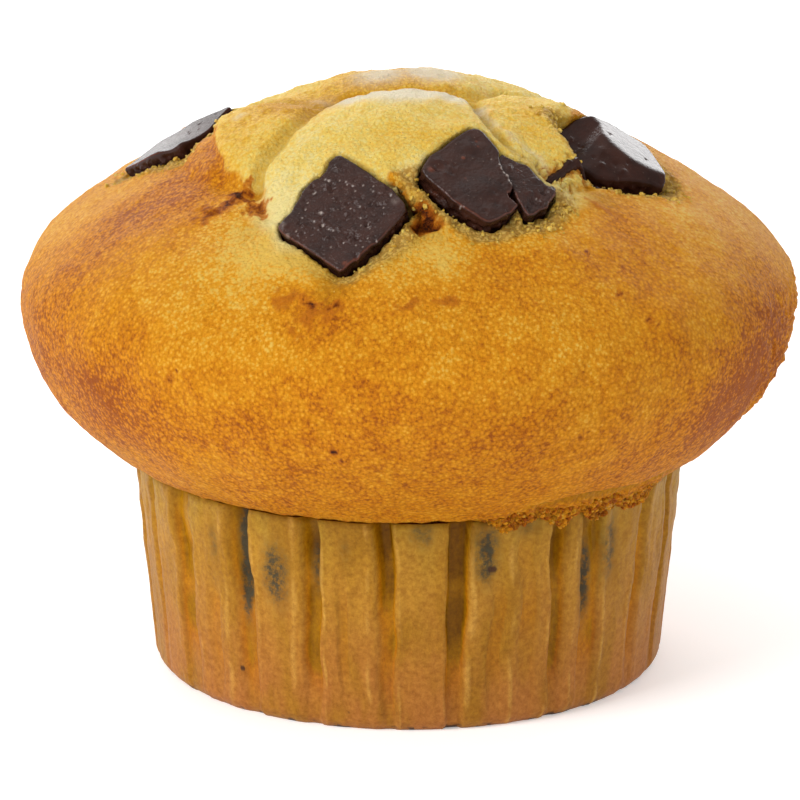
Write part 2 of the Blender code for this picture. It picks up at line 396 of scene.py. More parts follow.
def disc_border(cells):
    """Indices of the grid's border, once round against the clock seen from above."""
    row = cells + 1
    east = [cells * row + j for j in range(cells)]
    north = [i * row + cells for i in range(cells, 0, -1)]
    west = [j for j in range(cells, 0, -1)]
    south = [i * row for i in range(cells)]
    return east + north + west + south


# %% Rings and the faces between them
def turned_rings(profile, turns):
    """Points of whole rings, one for each (radius, height) of a profile."""
    return np.concatenate([
        np.column_stack((r * np.cos(turns), r * np.sin(turns), np.full(len(turns), z)))
        for r, z in profile
    ])


def ring_faces(upper, lower):
    """Four-sided faces between two closed rows of as many points."""
    count = len(upper)
    return [
        (upper[i], lower[i], lower[(i + 1) % count], upper[(i + 1) % count]) for i in range(count)
    ]


# %% Base shape of the cake
disc_x, disc_y = disc_grid(CROWN_CELLS)
arc = bezier(CROWN, np.hypot(disc_x, disc_y))
turn = np.arctan2(disc_y, disc_x)
crown_points = np.column_stack((arc[:, 0] * np.cos(turn), arc[:, 0] * np.sin(turn), arc[:, 1]))

border = disc_border(CROWN_CELLS)
profile = [tuple(point) for point in bezier(UNDERSIDE, np.linspace(0.0, 1.0, UNDERSIDE_RINGS + 1))[1:]]
profile.append((27.15, LEDGE_HEIGHT - 0.05))
profile += list(zip(
    np.linspace(STEM_TOP, STEM_BASE, STEM_RINGS + 1), np.linspace(LEDGE_HEIGHT, STEM_FLOOR, STEM_RINGS + 1)
))
base_points = np.concatenate(
    (crown_points, turned_rings(profile, turn[border]), [(0.0, 0.0, STEM_FLOOR)])
)

# %% Faces of the cake
row = CROWN_CELLS + 1
cake_faces = [
    (i * row + j, (i + 1) * row + j, (i + 1) * row + j + 1, i * row + j + 1)
    for i in range(CROWN_CELLS) for j in range(CROWN_CELLS)
]
upper = border
for k in range(len(profile)):
    start = len(crown_points) + k * len(border)
    lower = list(range(start, start + len(border)))
    cake_faces += ring_faces(upper, lower)
    upper = lower
last = len(base_points) - 1
cake_faces += [(last, upper[(i + 1) % len(upper)], upper[i]) for i in range(len(upper))]
print("cake:", len(base_points), "points,", len(cake_faces), "faces")

# %% [markdown]
# ## The cap's form
# A baked cap is never quite round. The rim's slow waves and the four pillows come from the
# CAD. Over them go the swells and shallow dents that batter sets in, one size after another.

# %% Rim, pillows and swells
x, y, z = base_points.T
turn_round = np.degrees(np.arctan2(x, -y))  # 0 at the front, 90 on the right
on_cap = ramp(z, LEDGE_HEIGHT + 0.3, WIDEST_HEIGHT)
rim_scale = 1.0 + on_cap * sum(
    share * np.cos(np.radians(waves * turn_round - start)) for waves, share, start in RIM_WAVES
)
above = (z > WIDEST_HEIGHT) * 1.0
burst = above * burst_height(x, y)
shaped = np.column_stack((x * rim_scale, y * rim_scale, z + burst))

cake = new_piece("cake_crumb", shaped, cake_faces)
outward = normals_of(cake)
skin = ramp(z, LEDGE_HEIGHT, LEDGE_HEIGHT + 1.5)
swell = rough(shaped, (0.4, 15.0, 1), (0.25, 7.0, 2), (0.14, 3.4, 3))
shaped = shaped + outward * (swell * skin)[:, None]
move_points(cake, shaped)
print("swells:", round(float(swell.min()), 2), "to", round(float(swell.max()), 2), "mm")

# %% [markdown]
# ## Where the top burst
# The crust tore along one wandering line. Inside it the late-rising batter stayed pale and
# stands a step higher than the crust, and deep creases part it into its pillows.

# %% Burst edge and creases
BURST_EDGE = (
    (-18.9, -2.5), (-18.4, -7.9), (-17.4, -12.1), (-15.9, -14.4), (-14.0, -17.4), (-12.8, -20.6),
    (-10.6, -24.0), (-5.0, -25.0), (-1.6, -21.6), (0.4, -19.4), (3.6, -17.8), (9.4, -17.0),
    (12.8, -17.6), (15.0, -16.2), (16.8, -13.6), (16.8, -8.0), (15.6, -3.0), (16.6, 3.0),
    (15.4, 9.0), (8.5, 13.6), (-2.0, 14.8), (-10.6, 12.6), (-16.4, 7.2), (-18.4, 2.4),
)
CREASES = {  # corners (x, y) mm, half width mm, depth mm
    "left": (
        ((-14.6, -16.8), (-13.7, -14.4), (-11.9, -11.6), (-9.9, -8.4), (-8.2, -4.6), (-6.2, -2.2)), 0.7, 0.7,
    ),
    "back": (((-6.2, -2.2), (-2.0, -2.6), (2.0, -2.4), (5.2, -1.6)), 0.7, 1.2),
    "right": (((5.2, -1.6), (6.4, -6.0), (7.2, -10.2), (8.2, -13.4), (9.4, -15.6), (12.6, -16.8)), 0.6, 0.9),
    "far_left": (((-8.2, -4.6), (-12.0, -1.2), (-17.0, 1.0)), 0.8, 0.6),
    "far_right": (((5.2, -1.6), (9.0, 1.0), (15.0, 2.0)), 0.8, 0.6),
}
STEP_HEIGHT = 0.3  # of the burst top over the crust, and of the groove along its edge
burst_gap = outline_gap(BURST_EDGE, shaped[:, :2]) + 0.8 * bumps(shaped, 3.0, 4)
step = STEP_HEIGHT * ramp(burst_gap, 0.4, -1.0) * ramp(burst_gap, -5.0, -1.0)
step -= STEP_HEIGHT * np.exp(-((burst_gap - 0.5) / 0.6) ** 2)
# Painted shade: the crumb along the creases between the pillows is darkened in colour.
crease_shade = np.zeros(len(shaped))
sink = np.zeros(len(shaped))
for path, width, depth in CREASES.values():
    away = distance_to(shaped[:, :2], path) + 0.3 * bumps(shaped, 2.0, 14)
    crease_shade = np.maximum(crease_shade, ramp(away, 2.4 * width, 0.2 * width))
    sink = np.maximum(sink, depth * ramp(away, 2.2 * width, 0.0))
shaped += outward * ((step - sink) * above)[:, None]
crease_shade *= above
move_points(cake, shaped)
print("burst top:", int((burst_gap < 0.0).sum()), "points, creases up to", round(float(sink.max()), 2), "mm")

# %% [markdown]
# ## Seats for the chocolate
# The crumb goes down to each chunk's underside and up to its edge again: flush on the uphill
# side and lower on the downhill side, where the side of the chunk shows. Eight levels, one for
# each eighth of a turn from `across`, say how far below the chunk's top the crumb meets it.

# %% Seat levels
SEAT_FLOOR = -4.0  # of a seat, under the chunk's top
SEAT_SLOPE = 2.6  # width of the crumb that is drawn down or up to the chunk
EDGE_LEVELS = {
    "chunk_front_left": (-0.8, -0.2, -0.1, -0.2, -0.3, -0.4, -0.6, -1.3),
    "chunk_front_centre": (-0.9, -0.3, -0.1, -0.3, -1.8, -1.7, -1.2, -1.3),
    "chunk_front_chip": (-0.6, -0.2, -0.1, -0.5, -0.8, -1.0, -1.1, -0.9),
    "chunk_right": (-0.5, -0.4, -0.9, -2.2, -3.0, -3.3, -2.3, -1.0),
    "chunk_left": (-1.2, -1.0, -0.5, -0.4, -0.4, -0.4, -0.7, -1.3),
    "chunk_back_left": (-0.6, -0.3, -0.2, -0.3, -0.6, -1.1, -1.4, -1.1),
    "chunk_back_right": (-0.6, -0.3, -0.2, -0.3, -0.6, -1.1, -1.4, -1.1),
}

# %% Sink the seats
torn = np.zeros(len(shaped))  # how torn the crumb is
painted_shade = np.zeros(len(shaped))  # how much painted shade the crumb gets
for name, seat in SEATS.items():
    local = in_seat(seat, shaped)
    near = (np.linalg.norm(local, axis=1) < 13.0) & (above > 0.0)
    flat = local[near, :2]
    gap = outline_gap(OUTLINES[name], flat) + 0.15 * bumps(shaped[near], 1.4, 5)
    compass = np.degrees(np.arctan2(flat[:, 1], flat[:, 0])) % 360.0
    level = np.interp(compass, np.arange(9) * 45.0, EDGE_LEVELS[name] + EDGE_LEVELS[name][:1])
    low_side = ramp(level, -0.4, -1.0)
    level = level + 0.22 * bumps(shaped[near], 1.2, 6)
    height = local[near, 2]
    drawn = level + (height - level) * ramp(gap, 0.0, SEAT_SLOPE)
    hollow = ramp(gap, 0.14, -0.16)
    local[near, 2] = drawn + (SEAT_FLOOR - drawn) * hollow
    shaped[near] = from_seat(seat, local[near])
    torn[near] = np.maximum(torn[near], ramp(gap, 3.6, 0.8) * ramp(gap, 0.0, 0.3) * low_side)
    # Painted shade on the crumb round each chunk, wider and darker on its low side.
    shaded = ramp(gap, 0.8 + 2.4 * low_side, 0.0) * (0.45 + 0.55 * low_side)
    painted_shade[near] = np.maximum(painted_shade[near], shaded)
    print(name, "seat takes", int((gap < 0.0).sum()), "points")
move_points(cake, shaped)

# %% [markdown]
# ## Cracks, ridges and torn crumb
# Little cracks scorched where they opened, and some crust toasted in small patches. Each is a
# stroke: a path with a width, a height and a depth of toasting. Noise frays its edges, because
# a clean edge would look painted.

# %% Strokes
STROKES = {  # corners (x, y) mm, half width mm, height mm, toast
    "left_streak": (
        ((-19.4, -17.8), (-18.2, -17.6), (-17.0, -17.4), (-16.3, -16.8), (-15.8, -16.3)), 1.0, 0.05, 0.9,
    ),
    "left_spur": (((-15.6, -17.5), (-14.6, -18.8), (-13.8, -20.0)), 0.75, -0.1, 0.85),
    "smear_front": (((-1.1, -34.0), (1.5, -33.3), (4.4, -32.9)), 0.3, 0.0, 0.5),
    "smear": (((16.8, -16.9), (18.5, -17.0), (20.4, -17.3)), 0.35, 0.0, 0.4),
    "smear_below": (((17.8, -20.4), (19.9, -20.1), (21.8, -20.6)), 0.3, 0.0, 0.35),
    "chip_to_right_chunk": (((13.0, -16.6), (14.6, -15.0), (17.0, -12.8)), 0.7, -0.5, 0.5),
    "patch_low": (((-11.8, -31.0), (-9.8, -31.8)), 0.8, 0.1, 0.42),
    "patch_lower": (((-10.2, -33.6), (-7.6, -33.6)), 0.8, 0.1, 0.4),
    "patch_crack": (((-9.6, -32.0), (-8.8, -32.6), (-7.8, -32.8)), 0.22, -0.1, 0.95),
    "patch_crack_right": (((-7.2, -33.2), (-6.4, -33.0), (-6.0, -33.4)), 0.2, -0.1, 0.8),
    "flake": (((18.6, -1.6), (19.8, -2.2), (21.0, -3.2)), 0.5, 0.5, 0.45),
}
FRAY = 1.3  # how far noise moves a stroke's edge, in half widths
toast = np.zeros(len(shaped))
outward = normals_of(cake)
grit = rough(shaped, (1.0, 0.9, 8), (0.7, 0.45, 9))
for path, width, height, browning in STROKES.values():
    away = distance_to(shaped[:, :2], path) + FRAY * width * grit
    depth = ramp(away, 1.7 * width, 0.1 * width) * above
    shaped += outward * (height * depth)[:, None]
    toast = np.maximum(toast, browning * depth)
print("strokes:", len(STROKES), "with", int((toast > 0.5).sum()), "points well toasted")

# %% [markdown]
# ## The cleft beside the front left chunk
# The crumb split between the two front chunks and its skin curled up as a ridge, with a
# scorched cleft under it. Both lie in the plane of the left chunk's top, so they are drawn
# there, as the chunks are.

# %% Cleft and ridge
CLEFT = (
    (3.2, 4.4), (3.8, 4.6), (4.4, 4.3), (5.1, 3.7), (5.8, 3.0), (6.8, 2.7), (7.7, 2.2), (8.5, 1.5),
    (8.9, 0.9), (8.3, 0.5), (7.9, 0.2), (7.5, -0.3), (6.7, -0.2), (6.0, 0.8), (5.7, 1.6), (5.1, 2.5),
    (4.6, 3.1), (3.9, 3.6),
)
RIDGE = ((3.9, 5.0), (4.9, 4.5), (6.0, 3.4), (7.4, 2.9), (9.0, 1.7), (9.8, 0.5))
SCORCHED = ((6.6, 2.5), (7.6, 2.0), (8.7, 1.0))
CLEFT_DEPTH = 2.2
RIDGE_HEIGHT = 0.35
local = in_seat(SEATS["chunk_front_left"], shaped)
beside = (np.abs(local[:, 2]) < 3.0) & (above > 0.0)
flat = local[:, :2] + 0.25 * grit[:, None]
cleft = ramp(outline_gap(CLEFT, flat), 0.3, -0.7) * beside
skin_ridge = ramp(distance_to(flat, RIDGE), 1.3, 0.1) * beside * (1.0 - cleft)
scorch = ramp(distance_to(flat, SCORCHED), 0.7, 0.1) * beside
shaped += outward * (RIDGE_HEIGHT * skin_ridge - CLEFT_DEPTH * cleft)[:, None]
toast = np.maximum(toast, np.maximum(0.95 * cleft, 1.05 * scorch))
move_points(cake, shaped)
print("cleft takes", int((cleft > 0.5).sum()), "points")

# %% [markdown]
# ## Grain and tears
# Crust is a skin of burst bubbles, so it is finely pebbled: about half a millimetre from grain
# to grain. It is rough where crumb tore at the chunks, along the right of the rim and where the
# cap pulled away from the paper. There a crevice runs above a band of torn crumb.

# %% Parts of the cap by the way they face
def facing(middle, outer, inner):
    """1 within `inner` degrees of a direction and 0 beyond `outer`, at each of the cake's points."""
    return ramp(np.abs(turn_round - middle), outer, inner)


# %% Where crumb is pale and where it is torn
BROW_PALENESS = 0.78  # of the crust in front of the burst, where the pillows are 1
BAND_MIDDLE = 38.0  # degrees round from the front: the torn band at the paper is widest there
front = facing(6.0, 60.0, 30.0)
pale = np.maximum(ramp(burst_gap, 0.5, -0.7), BROW_PALENESS * front * ramp(burst_gap, 6.0, 0.0)) * above
pale *= 1.0 - np.maximum(skin_ridge, cleft)
right_rim = facing(88.0, 34.0, 12.0) * ramp(np.abs(z - 33.0), 9.0, 4.0)
mouth = ramp(z, LEDGE_HEIGHT + 2.4, LEDGE_HEIGHT + 0.4) * ramp(z, LEDGE_HEIGHT - 0.3, LEDGE_HEIGHT)
mouth_tear = mouth * np.maximum(facing(BAND_MIDDLE, 28.0, 18.0), 0.25)
tears = np.clip(0.9 * torn + 0.5 * np.clip(toast, 0, 1) + 0.8 * right_rim + mouth_tear, 0.0, 1.3)
print("pale:", int((pale > 0.5).sum()), "points, torn:", int((tears > 0.5).sum()))

# %% Pebbles, tears and the crevice
CREVICE_DEPTH, CREVICE_HALF_HEIGHT = 0.7, 0.45
outward = normals_of(cake)
pebble = rough(shaped, (0.1, 0.7, 10), (0.12, 1.5, 11))
ragged = rough(shaped, (0.2, 0.45, 16), (0.4, 0.8, 12), (0.45, 1.7, 13))
relief = pebble * (0.6 + 1.0 * np.maximum(pale, painted_shade)) + ragged * tears
crevice_height = LEDGE_HEIGHT + 1.5 + 0.7 * bumps(shaped, 4.0, 17)
crevice = np.exp(-((z - crevice_height) / CREVICE_HALF_HEIGHT) ** 2)
crevice *= facing(42.0, 22.0, 14.0)
relief -= CREVICE_DEPTH * crevice
# The crevice also gets painted shade.
painted_shade = np.maximum(painted_shade, 1.1 * crevice)
shaped += outward * (relief * np.maximum(skin, mouth))[:, None]
move_points(cake, shaped)
print("relief:", round(float(relief.min()), 2), "to", round(float(relief.max()), 2), "mm")

# %% [markdown]
# ## Spots of colour
# No oven browns evenly. Soft round dabs say where the crust is browner or yellower and where a
# speck burnt. Some dabs paint light and shade instead: a painted sheen on the crests, and painted
# shade by and below the chunks and at the side rims.

# %% Browner and yellower dabs, some of them painted shade
# The dabs below the front chunks and at the side rims darken the crust as painted shade.
TONES_AND_SHADE = (  # x, y, z and radius in mm, how much browner (above 0) or yellower (below 0)
    (-15.5, -6.0, 57.0, 8.0, 0.35), (12.5, -7.0, 57.0, 7.0, 0.35), (-2.0, 2.5, 58.5, 8.0, 0.75),
    (16.0, -24.5, 47.0, 5.0, 0.35), (9.0, -28.5, 46.0, 5.0, 0.3), (2.0, -32.0, 44.0, 5.0, 0.25),
    (0.0, -28.5, 47.5, 5.0, -0.4), (11.0, -24.5, 48.5, 4.0, -0.4), (-14.0, -24.0, 48.0, 5.0, -0.25),
    (-18.0, -29.0, 41.0, 8.0, -0.2), (-27.0, -12.0, 46.0, 6.0, 0.25), (-26.0, -24.0, 36.0, 7.0, 0.2),
    (34.0, -14.0, 36.0, 9.0, 0.45), (30.0, -21.0, 32.0, 7.0, 0.45), (24.0, -14.0, 48.0, 6.0, -0.25),
    (-35.0, -12.0, 36.0, 9.0, 0.4), (-29.0, -22.0, 31.0, 7.0, 0.25), (5.0, -35.0, 38.0, 9.0, 0.05),
    (0.5, -18.0, 56.0, 6.0, 0.3), (13.5, -12.5, 54.0, 4.5, 0.1), (-10.3, -3.9, 56.5, 4.5, 0.60),
    (8.4, -27.5, 47.3, 4.5, 0.30), (-7.1, -32.4, 44.3, 3.0, 0.50), (-12.0, -20.0, 51.0, 3.0, -0.3),
    (-8.0, -28.0, 47.0, 4.0, -0.35), (4.0, -34.0, 29.0, 9.0, -0.15), (18.6, -17.5, 49.0, 3.6, 0.5),
    (-22.0, -12.5, 49.0, 6.5, 0.8), (23.2, -17.8, 47.2, 5.0, 0.45), (4.2, -28.4, 47.2, 2.6, -0.6),
    (-10.8, -31.2, 44.0, 2.6, 0.35), (-8.0, -33.6, 42.0, 2.6, 0.35),
)
BROW_TONE = -0.4


def dabs(spots):
    """Soft round dabs (x, y, z, radius, amount), one row of values at the cake's points for each."""
    rows = []
    for *spot, radius, amount in spots:
        away = np.linalg.norm(shaped - spot, axis=1)
        rows.append(amount * np.exp(-(away / radius) ** 2))
    return np.array(rows)


tone_and_shade = dabs(TONES_AND_SHADE).sum(axis=0)
tone_and_shade += BROW_TONE * front * above * ramp(burst_gap, 10.0, 1.0) * ramp(burst_gap, -1.0, 1.0)
print("tone:", round(float(tone_and_shade.min()), 2), "to", round(float(tone_and_shade.max()), 2))

# %% Painted sheen on the crests and painted shade by the chunks
CREST_HIGHLIGHTS = (  # painted sheen on the crests: x, y, z, radius in mm and strength
    (-4.6, -6.2, 57.8, 3.2, 1.3), (-0.4, -7.2, 58.2, 3.6, 1.6), (3.8, -6.6, 57.6, 3.0, 1.2),
    (6.6, -7.2, 57.0, 1.6, 0.8), (-8.0, -2.0, 56.4, 2.0, 0.5), (-2.7, 2.9, 57.9, 3.6, 0.9),
    (2.4, 3.6, 57.9, 3.4, 1.2), (7.0, 3.0, 57.0, 3.0, 0.4), (-16.2, -4.6, 55.2, 1.0, 0.6),
    (-9.6, -14.0, 55.0, 1.8, 0.35),
)
# A line of painted sheen along the right crest of the front pillow.
CREST_HIGHLIGHT_LINE = ((6.6, -7.2), (7.6, -9.4), (8.7, -12.0), (10.0, -13.6), (12.4, -14.7), (13.2, -15.8))
SHADES = (  # painted shade by and below the chunks: x, y, z, radius in mm and strength
    (-0.3, -25.7, 49.0, 2.4, 0.75), (-2.1, -28.0, 47.7, 2.2, 0.70), (2.9, -25.8, 48.8, 1.6, 0.45),
    (6.6, -25.5, 48.7, 2.2, 0.40), (10.3, -22.9, 49.3, 1.8, 0.45), (18.0, -15.5, 49.9, 2.6, 0.50),
    (-7.1, -30.0, 46.0, 2.2, 0.40), (-7.0, -31.6, 44.8, 2.0, 0.62), (-14.6, -22.6, 48.6, 2.4, 0.3),
)
line_gap = distance_to(shaped[:, :2], CREST_HIGHLIGHT_LINE) + 0.3 * grit
crest_highlight = np.maximum(dabs(CREST_HIGHLIGHTS).max(axis=0), 0.55 * ramp(line_gap, 0.9, 0.0) * above)
painted_shade = np.maximum(painted_shade, dabs(SHADES).max(axis=0))
print("highlit_crests:", int((crest_highlight > 0.5).sum()), "points, damp:", int((painted_shade > 0.5).sum()))

# %% Burnt specks
SPECKS = (  # x, y, z and radius in mm
    (-21.8, -30.6, 36.5, 0.5), (-21.1, -30.9, 37.4, 0.3), (-6.8, -36.0, 31.0, 0.45),
    (-7.2, -35.6, 30.2, 0.25), (-6.0, -35.6, 30.0, 0.3), (-5.2, -35.2, 28.8, 0.3),
    (23.0, -28.5, 41.0, 0.35), (22.2, -28.9, 41.6, 0.45), (19.5, -27.8, 43.9, 0.4),
    (16.6, -24.5, 46.9, 0.35), (28.6, -24.6, 37.6, 0.3), (15.8, -33.6, 31.6, 0.25),
    (-28.0, -25.6, 40.4, 0.25),
)
SPECK_TOAST = 1.1
speck = np.zeros(len(shaped))
for *spot, radius in SPECKS:
    away = np.linalg.norm(shaped - spot, axis=1) + 0.25 * grit
    speck = np.maximum(speck, ramp(away, 1.5 * radius, 0.4 * radius))
print("specks:", len(SPECKS))

# %% Paint what the finish needs to know
for name, values in {
    "pale": pale, "crease_shade": crease_shade, "torn": np.clip(torn + 0.3 * mouth_tear, 0.0, 1.0),
    "toast": np.maximum(toast, SPECK_TOAST * speck), "tone_and_shade": tone_and_shade, "painted_shade": painted_shade, "crest_highlight": crest_highlight,
}.items():
    paint(cake, name, values)
    print(name, "goes up to", round(float(values.max()), 2))

# %% [markdown]
# ## Crust and crumb finish
# One material covers the whole cake. Height decides how brown the crust is and the painted values
# say where pale crumb, tears and toast are, where creases, chunks and the crevice get painted
# shade and where the crests get a painted sheen. Browning itself is what the noise disturbs, so
# every speck is a little more or less baked and not just lighter or darker.

# %% Noises of the crumb
PEBBLE_SIZE = 0.42  # mm
crumb_finish, tree, shader = new_finish(
    "baked_crumb_finish", Roughness=0.55, Specular_IOR_Level=0.1,
    Subsurface_Weight=0.06, Subsurface_Scale=0.0006,
)
shader.inputs["Subsurface Radius"].default_value = (1.0, 0.5, 0.18)
place = wire(tree, "ShaderNodeTexCoord").outputs["Object"]
broad = speckle(tree, place, 10.0)
patch = speckle(tree, place, 3.0)
mottle = speckle(tree, place, 1.2, 5.0, 0.75)
grain = speckle(tree, place, 0.34, 4.0, 0.8)
cells = wire(tree, "ShaderNodeTexVoronoi", {"Vector": place, "Scale": 1.0 / (PEBBLE_SIZE * MM)})
pebbles = remap(tree, cells.outputs["Distance"], 0.75, 0.1)
# The pebble cells are painted lighter in their middles and darker between them: painted light and shade on
# the grains.
speckled = add(
    tree, around(tree, mottle, 0.8), around(tree, grain, 1.4), around(tree, pebbles, -0.35)
)

# %% Crust, from butter yellow to brown
PALE_TOP, BROWN_RIM = 0.050, 0.030  # heights in metres between which the crust browns
height = wire(tree, "ShaderNodeSeparateXYZ", {0: place}).outputs["Z"]
browning = add(
    tree, remap(tree, height, PALE_TOP, BROWN_RIM, 0.3, 0.6), times(tree, painted(tree, "tone_and_shade"), 0.6),
    around(tree, broad, 0.5), around(tree, patch, 0.5), speckled,
)
crust = colour_ramp(tree, browning, (
    (0.0, (255, 206, 92)), (0.3, (250, 172, 34)), (0.6, (232, 146, 18)),
    (0.85, (206, 116, 16)), (1.0, (174, 88, 18)),
))

# %% Pale crumb, with painted glints as lighter flecks and painted shade in darker pores
fluffy = add(tree, around(tree, patch, 0.5), times(tree, speckled, 0.85))
fluffy = add(tree, fluffy, add(tree, painted(tree, "tone_and_shade"), 0.2))
crumb = colour_ramp(tree, fluffy, (
    (0.0, (255, 232, 154)), (0.35, (255, 220, 112)), (0.75, (250, 194, 66)), (1.0, (224, 160, 38)),
))
# Lighter flecks are painted glints, darker pores painted shade.
crumb = overlay(tree, crumb, grain, 0.6, 0.74, 0.6, (255, 246, 206))
crumb = overlay(tree, crumb, grain, 0.4, 0.28, 0.5, (200, 142, 34))
pale_share = add(tree, painted(tree, "pale"), around(tree, patch, 0.5))
colour = blend(tree, remap(tree, pale_share, 0.3, 0.75), crust, crumb)

# %% [markdown]
# Everything below is laid over crust and crumb. Each painted value is multiplied by noise and
# not added to it, so where nothing is painted nothing shows.

# %% Painted shade in the creases and by the chunks, painted sheen on the crests
patchy = add(tree, around(tree, mottle, 1.2), 1.0)
# Painted shade along the creases between the pillows.
shade = times(tree, painted(tree, "crease_shade"), patchy)
colour = overlay(tree, colour, shade, 0.1, 1.0, 0.38, (190, 144, 44))
# Painted sheen: the crests are lightened towards white.
crest_sheen = times(tree, painted(tree, "crest_highlight"), add(tree, grain, 0.5))
colour = overlay(tree, colour, crest_sheen, 0.15, 1.0, 0.8, (244, 232, 206))
# Painted shade by and under the chunks, in the crevice and on loose crumbs.
shade = times(tree, painted(tree, "painted_shade"), patchy)
colour = overlay(tree, colour, shade, 0.05, 0.7, 0.55, (184, 130, 16))
colour = overlay(tree, colour, shade, 0.8, 1.3, 0.8, (92, 64, 14))

# %% Torn crumb, with painted shade between its lumps, and toast
open_crumb = times(tree, painted(tree, "torn"), grain)
colour = overlay(tree, colour, open_crumb, 0.2, 0.5, 0.85, (240, 200, 108))
# Painted shade in the hollows between torn lumps.
gap_shade = times(tree, painted(tree, "torn"), remap(tree, pebbles, 0.6, 0.15))
colour = overlay(tree, colour, gap_shade, 0.1, 0.8, 0.6, (176, 120, 34))
spotty = add(tree, around(tree, mottle, 3.2), 0.95)
toasted = times(tree, painted(tree, "toast"), spotty)
colour = overlay(tree, colour, toasted, 0.08, 0.45, 0.9, (212, 122, 22))
colour = overlay(tree, colour, toasted, 0.4, 0.85, 0.9, (150, 70, 12))
colour = overlay(tree, colour, toasted, 0.8, 1.2, 1.0, (66, 30, 16))
tree.links.new(colour, shader.inputs["Base Color"])

# %% Fine bumps, softer on pale crumb
CRUST_BUMP, CRUMB_BUMP = 0.0009, 0.00074  # metres
fine = add(tree, grain, mottle, times(tree, pebbles, 0.25))
bump_height = remap(tree, painted(tree, "pale"), 0.3, 0.9, CRUST_BUMP, CRUMB_BUMP)
bump = wire(tree, "ShaderNodeBump", {"Height": fine, "Strength": 0.9, "Distance": bump_height})
tree.links.new(bump.outputs[0], shader.inputs["Normal"])
cake.data.materials.append(crumb_finish)
print("crumb finish:", len(tree.nodes), "nodes")

# %% Put the cake on its body
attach(cake, "root")
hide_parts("cake")

# %% [markdown]
# ## Loose crumbs
# Where crust tears it sheds crumbs: under the chunks and along the mouth of the paper. They
# repeat, so a Geometry Nodes rule puts one rough grain on every point of a cloud, each with
# its own turn, size and squash. The points come from the torn parts of the cake and from a
# ring at the mouth, where they hang in clumps at the front right.

# %% Geometry Nodes helpers
def new_rule(name, inputs):
    """An empty Geometry Nodes tree with named inputs; returns it and its input node."""
    rule = bpy.data.node_groups.new(name, "GeometryNodeTree")
    rule.interface.new_socket(name="Geometry", in_out="OUTPUT", socket_type="NodeSocketGeometry")
    rule.interface.new_socket(name="Geometry", in_out="INPUT", socket_type="NodeSocketGeometry")
    for label, (kind, value) in inputs.items():
        socket = rule.interface.new_socket(name=label, in_out="INPUT", socket_type="NodeSocket" + kind)
        if value is not None:
            socket.default_value = value
    return rule, rule.nodes.new("NodeGroupInput")


def use_rule(piece, rule, values):
    """Add the tree to a piece and set its inputs by their identifiers."""
    modifier = piece.modifiers.new(rule.name, "NODES")
    modifier.node_group = rule
    for socket in rule.interface.items_tree:
        if socket.item_type == "SOCKET" and socket.in_out == "INPUT" and socket.name in values:
            modifier[socket.identifier] = values[socket.name]


def stored(rule, label):
    """A painted value, read inside a Geometry Nodes tree."""
    inputs = {"Name": label}
    return wire(rule, "GeometryNodeInputNamedAttribute", inputs, data_type="FLOAT").outputs[0]


# %% One rough grain on every point
rule, given = new_rule("scatter_crumbs", {
    "Roughness": ("Float", 0.00034),
    "Seed": ("Int", 4),
    "Finish": ("Material", None),
})
ball = wire(rule, "GeometryNodeMeshIcoSphere", {"Radius": 1.0, "Subdivisions": 1}).outputs[0]


def random_vector(low, high):
    """Three random numbers for each point."""
    inputs = {0: (low, low, low), 1: (high, high, high), "Seed": given.outputs["Seed"]}
    return wire(rule, "FunctionNodeRandomValue", inputs, data_type="FLOAT_VECTOR").outputs[0]


def scaled(vector, factor):
    """A vector times one number, as a node."""
    inputs = {0: vector, "Scale": factor}
    return wire(rule, "ShaderNodeVectorMath", inputs, operation="SCALE").outputs[0]


placed = wire(rule, "GeometryNodeInstanceOnPoints", {
    "Points": given.outputs["Geometry"], "Instance": ball, "Rotation": random_vector(0.0, 6.28),
    "Scale": scaled(random_vector(0.6, 1.5), stored(rule, "crumb_radius")),
}).outputs[0]
plain = wire(rule, "GeometryNodeRealizeInstances", {0: placed}).outputs[0]
lumps = wire(rule, "ShaderNodeTexNoise", {"Scale": 2200.0, "Detail": 1.0}).outputs["Color"]
centred = {0: lumps, 1: (0.5, 0.5, 0.5)}
shift = wire(rule, "ShaderNodeVectorMath", centred, operation="SUBTRACT").outputs[0]
shift = scaled(shift, given.outputs["Roughness"])
lumpy = wire(rule, "GeometryNodeSetPosition", {"Geometry": plain, "Offset": shift}).outputs[0]
finished = wire(rule, "GeometryNodeSetMaterial", {0: lumpy, "Material": given.outputs["Finish"]})
wire(rule, "NodeGroupOutput", {0: finished.outputs[0]})
print("crumb rule:", len(rule.nodes), "nodes")

# %% Points on the torn crumb
CRUMB_SHARE = 0.26  # share of points with a crumb where the cake is wholly torn
rng = np.random.default_rng(11)
skin_points = points_of(cake)
skin_normals = normals_of(cake)
chosen = rng.random(len(torn)) < CRUMB_SHARE * torn
lift = rng.uniform(-0.12, 0.1, (int(chosen.sum()), 1))
torn_cloud = skin_points[chosen] + skin_normals[chosen] * lift
torn_radius = 0.08 + 0.19 * rng.random(len(torn_cloud)) ** 2
print("on torn crumb:", len(torn_cloud), "points")

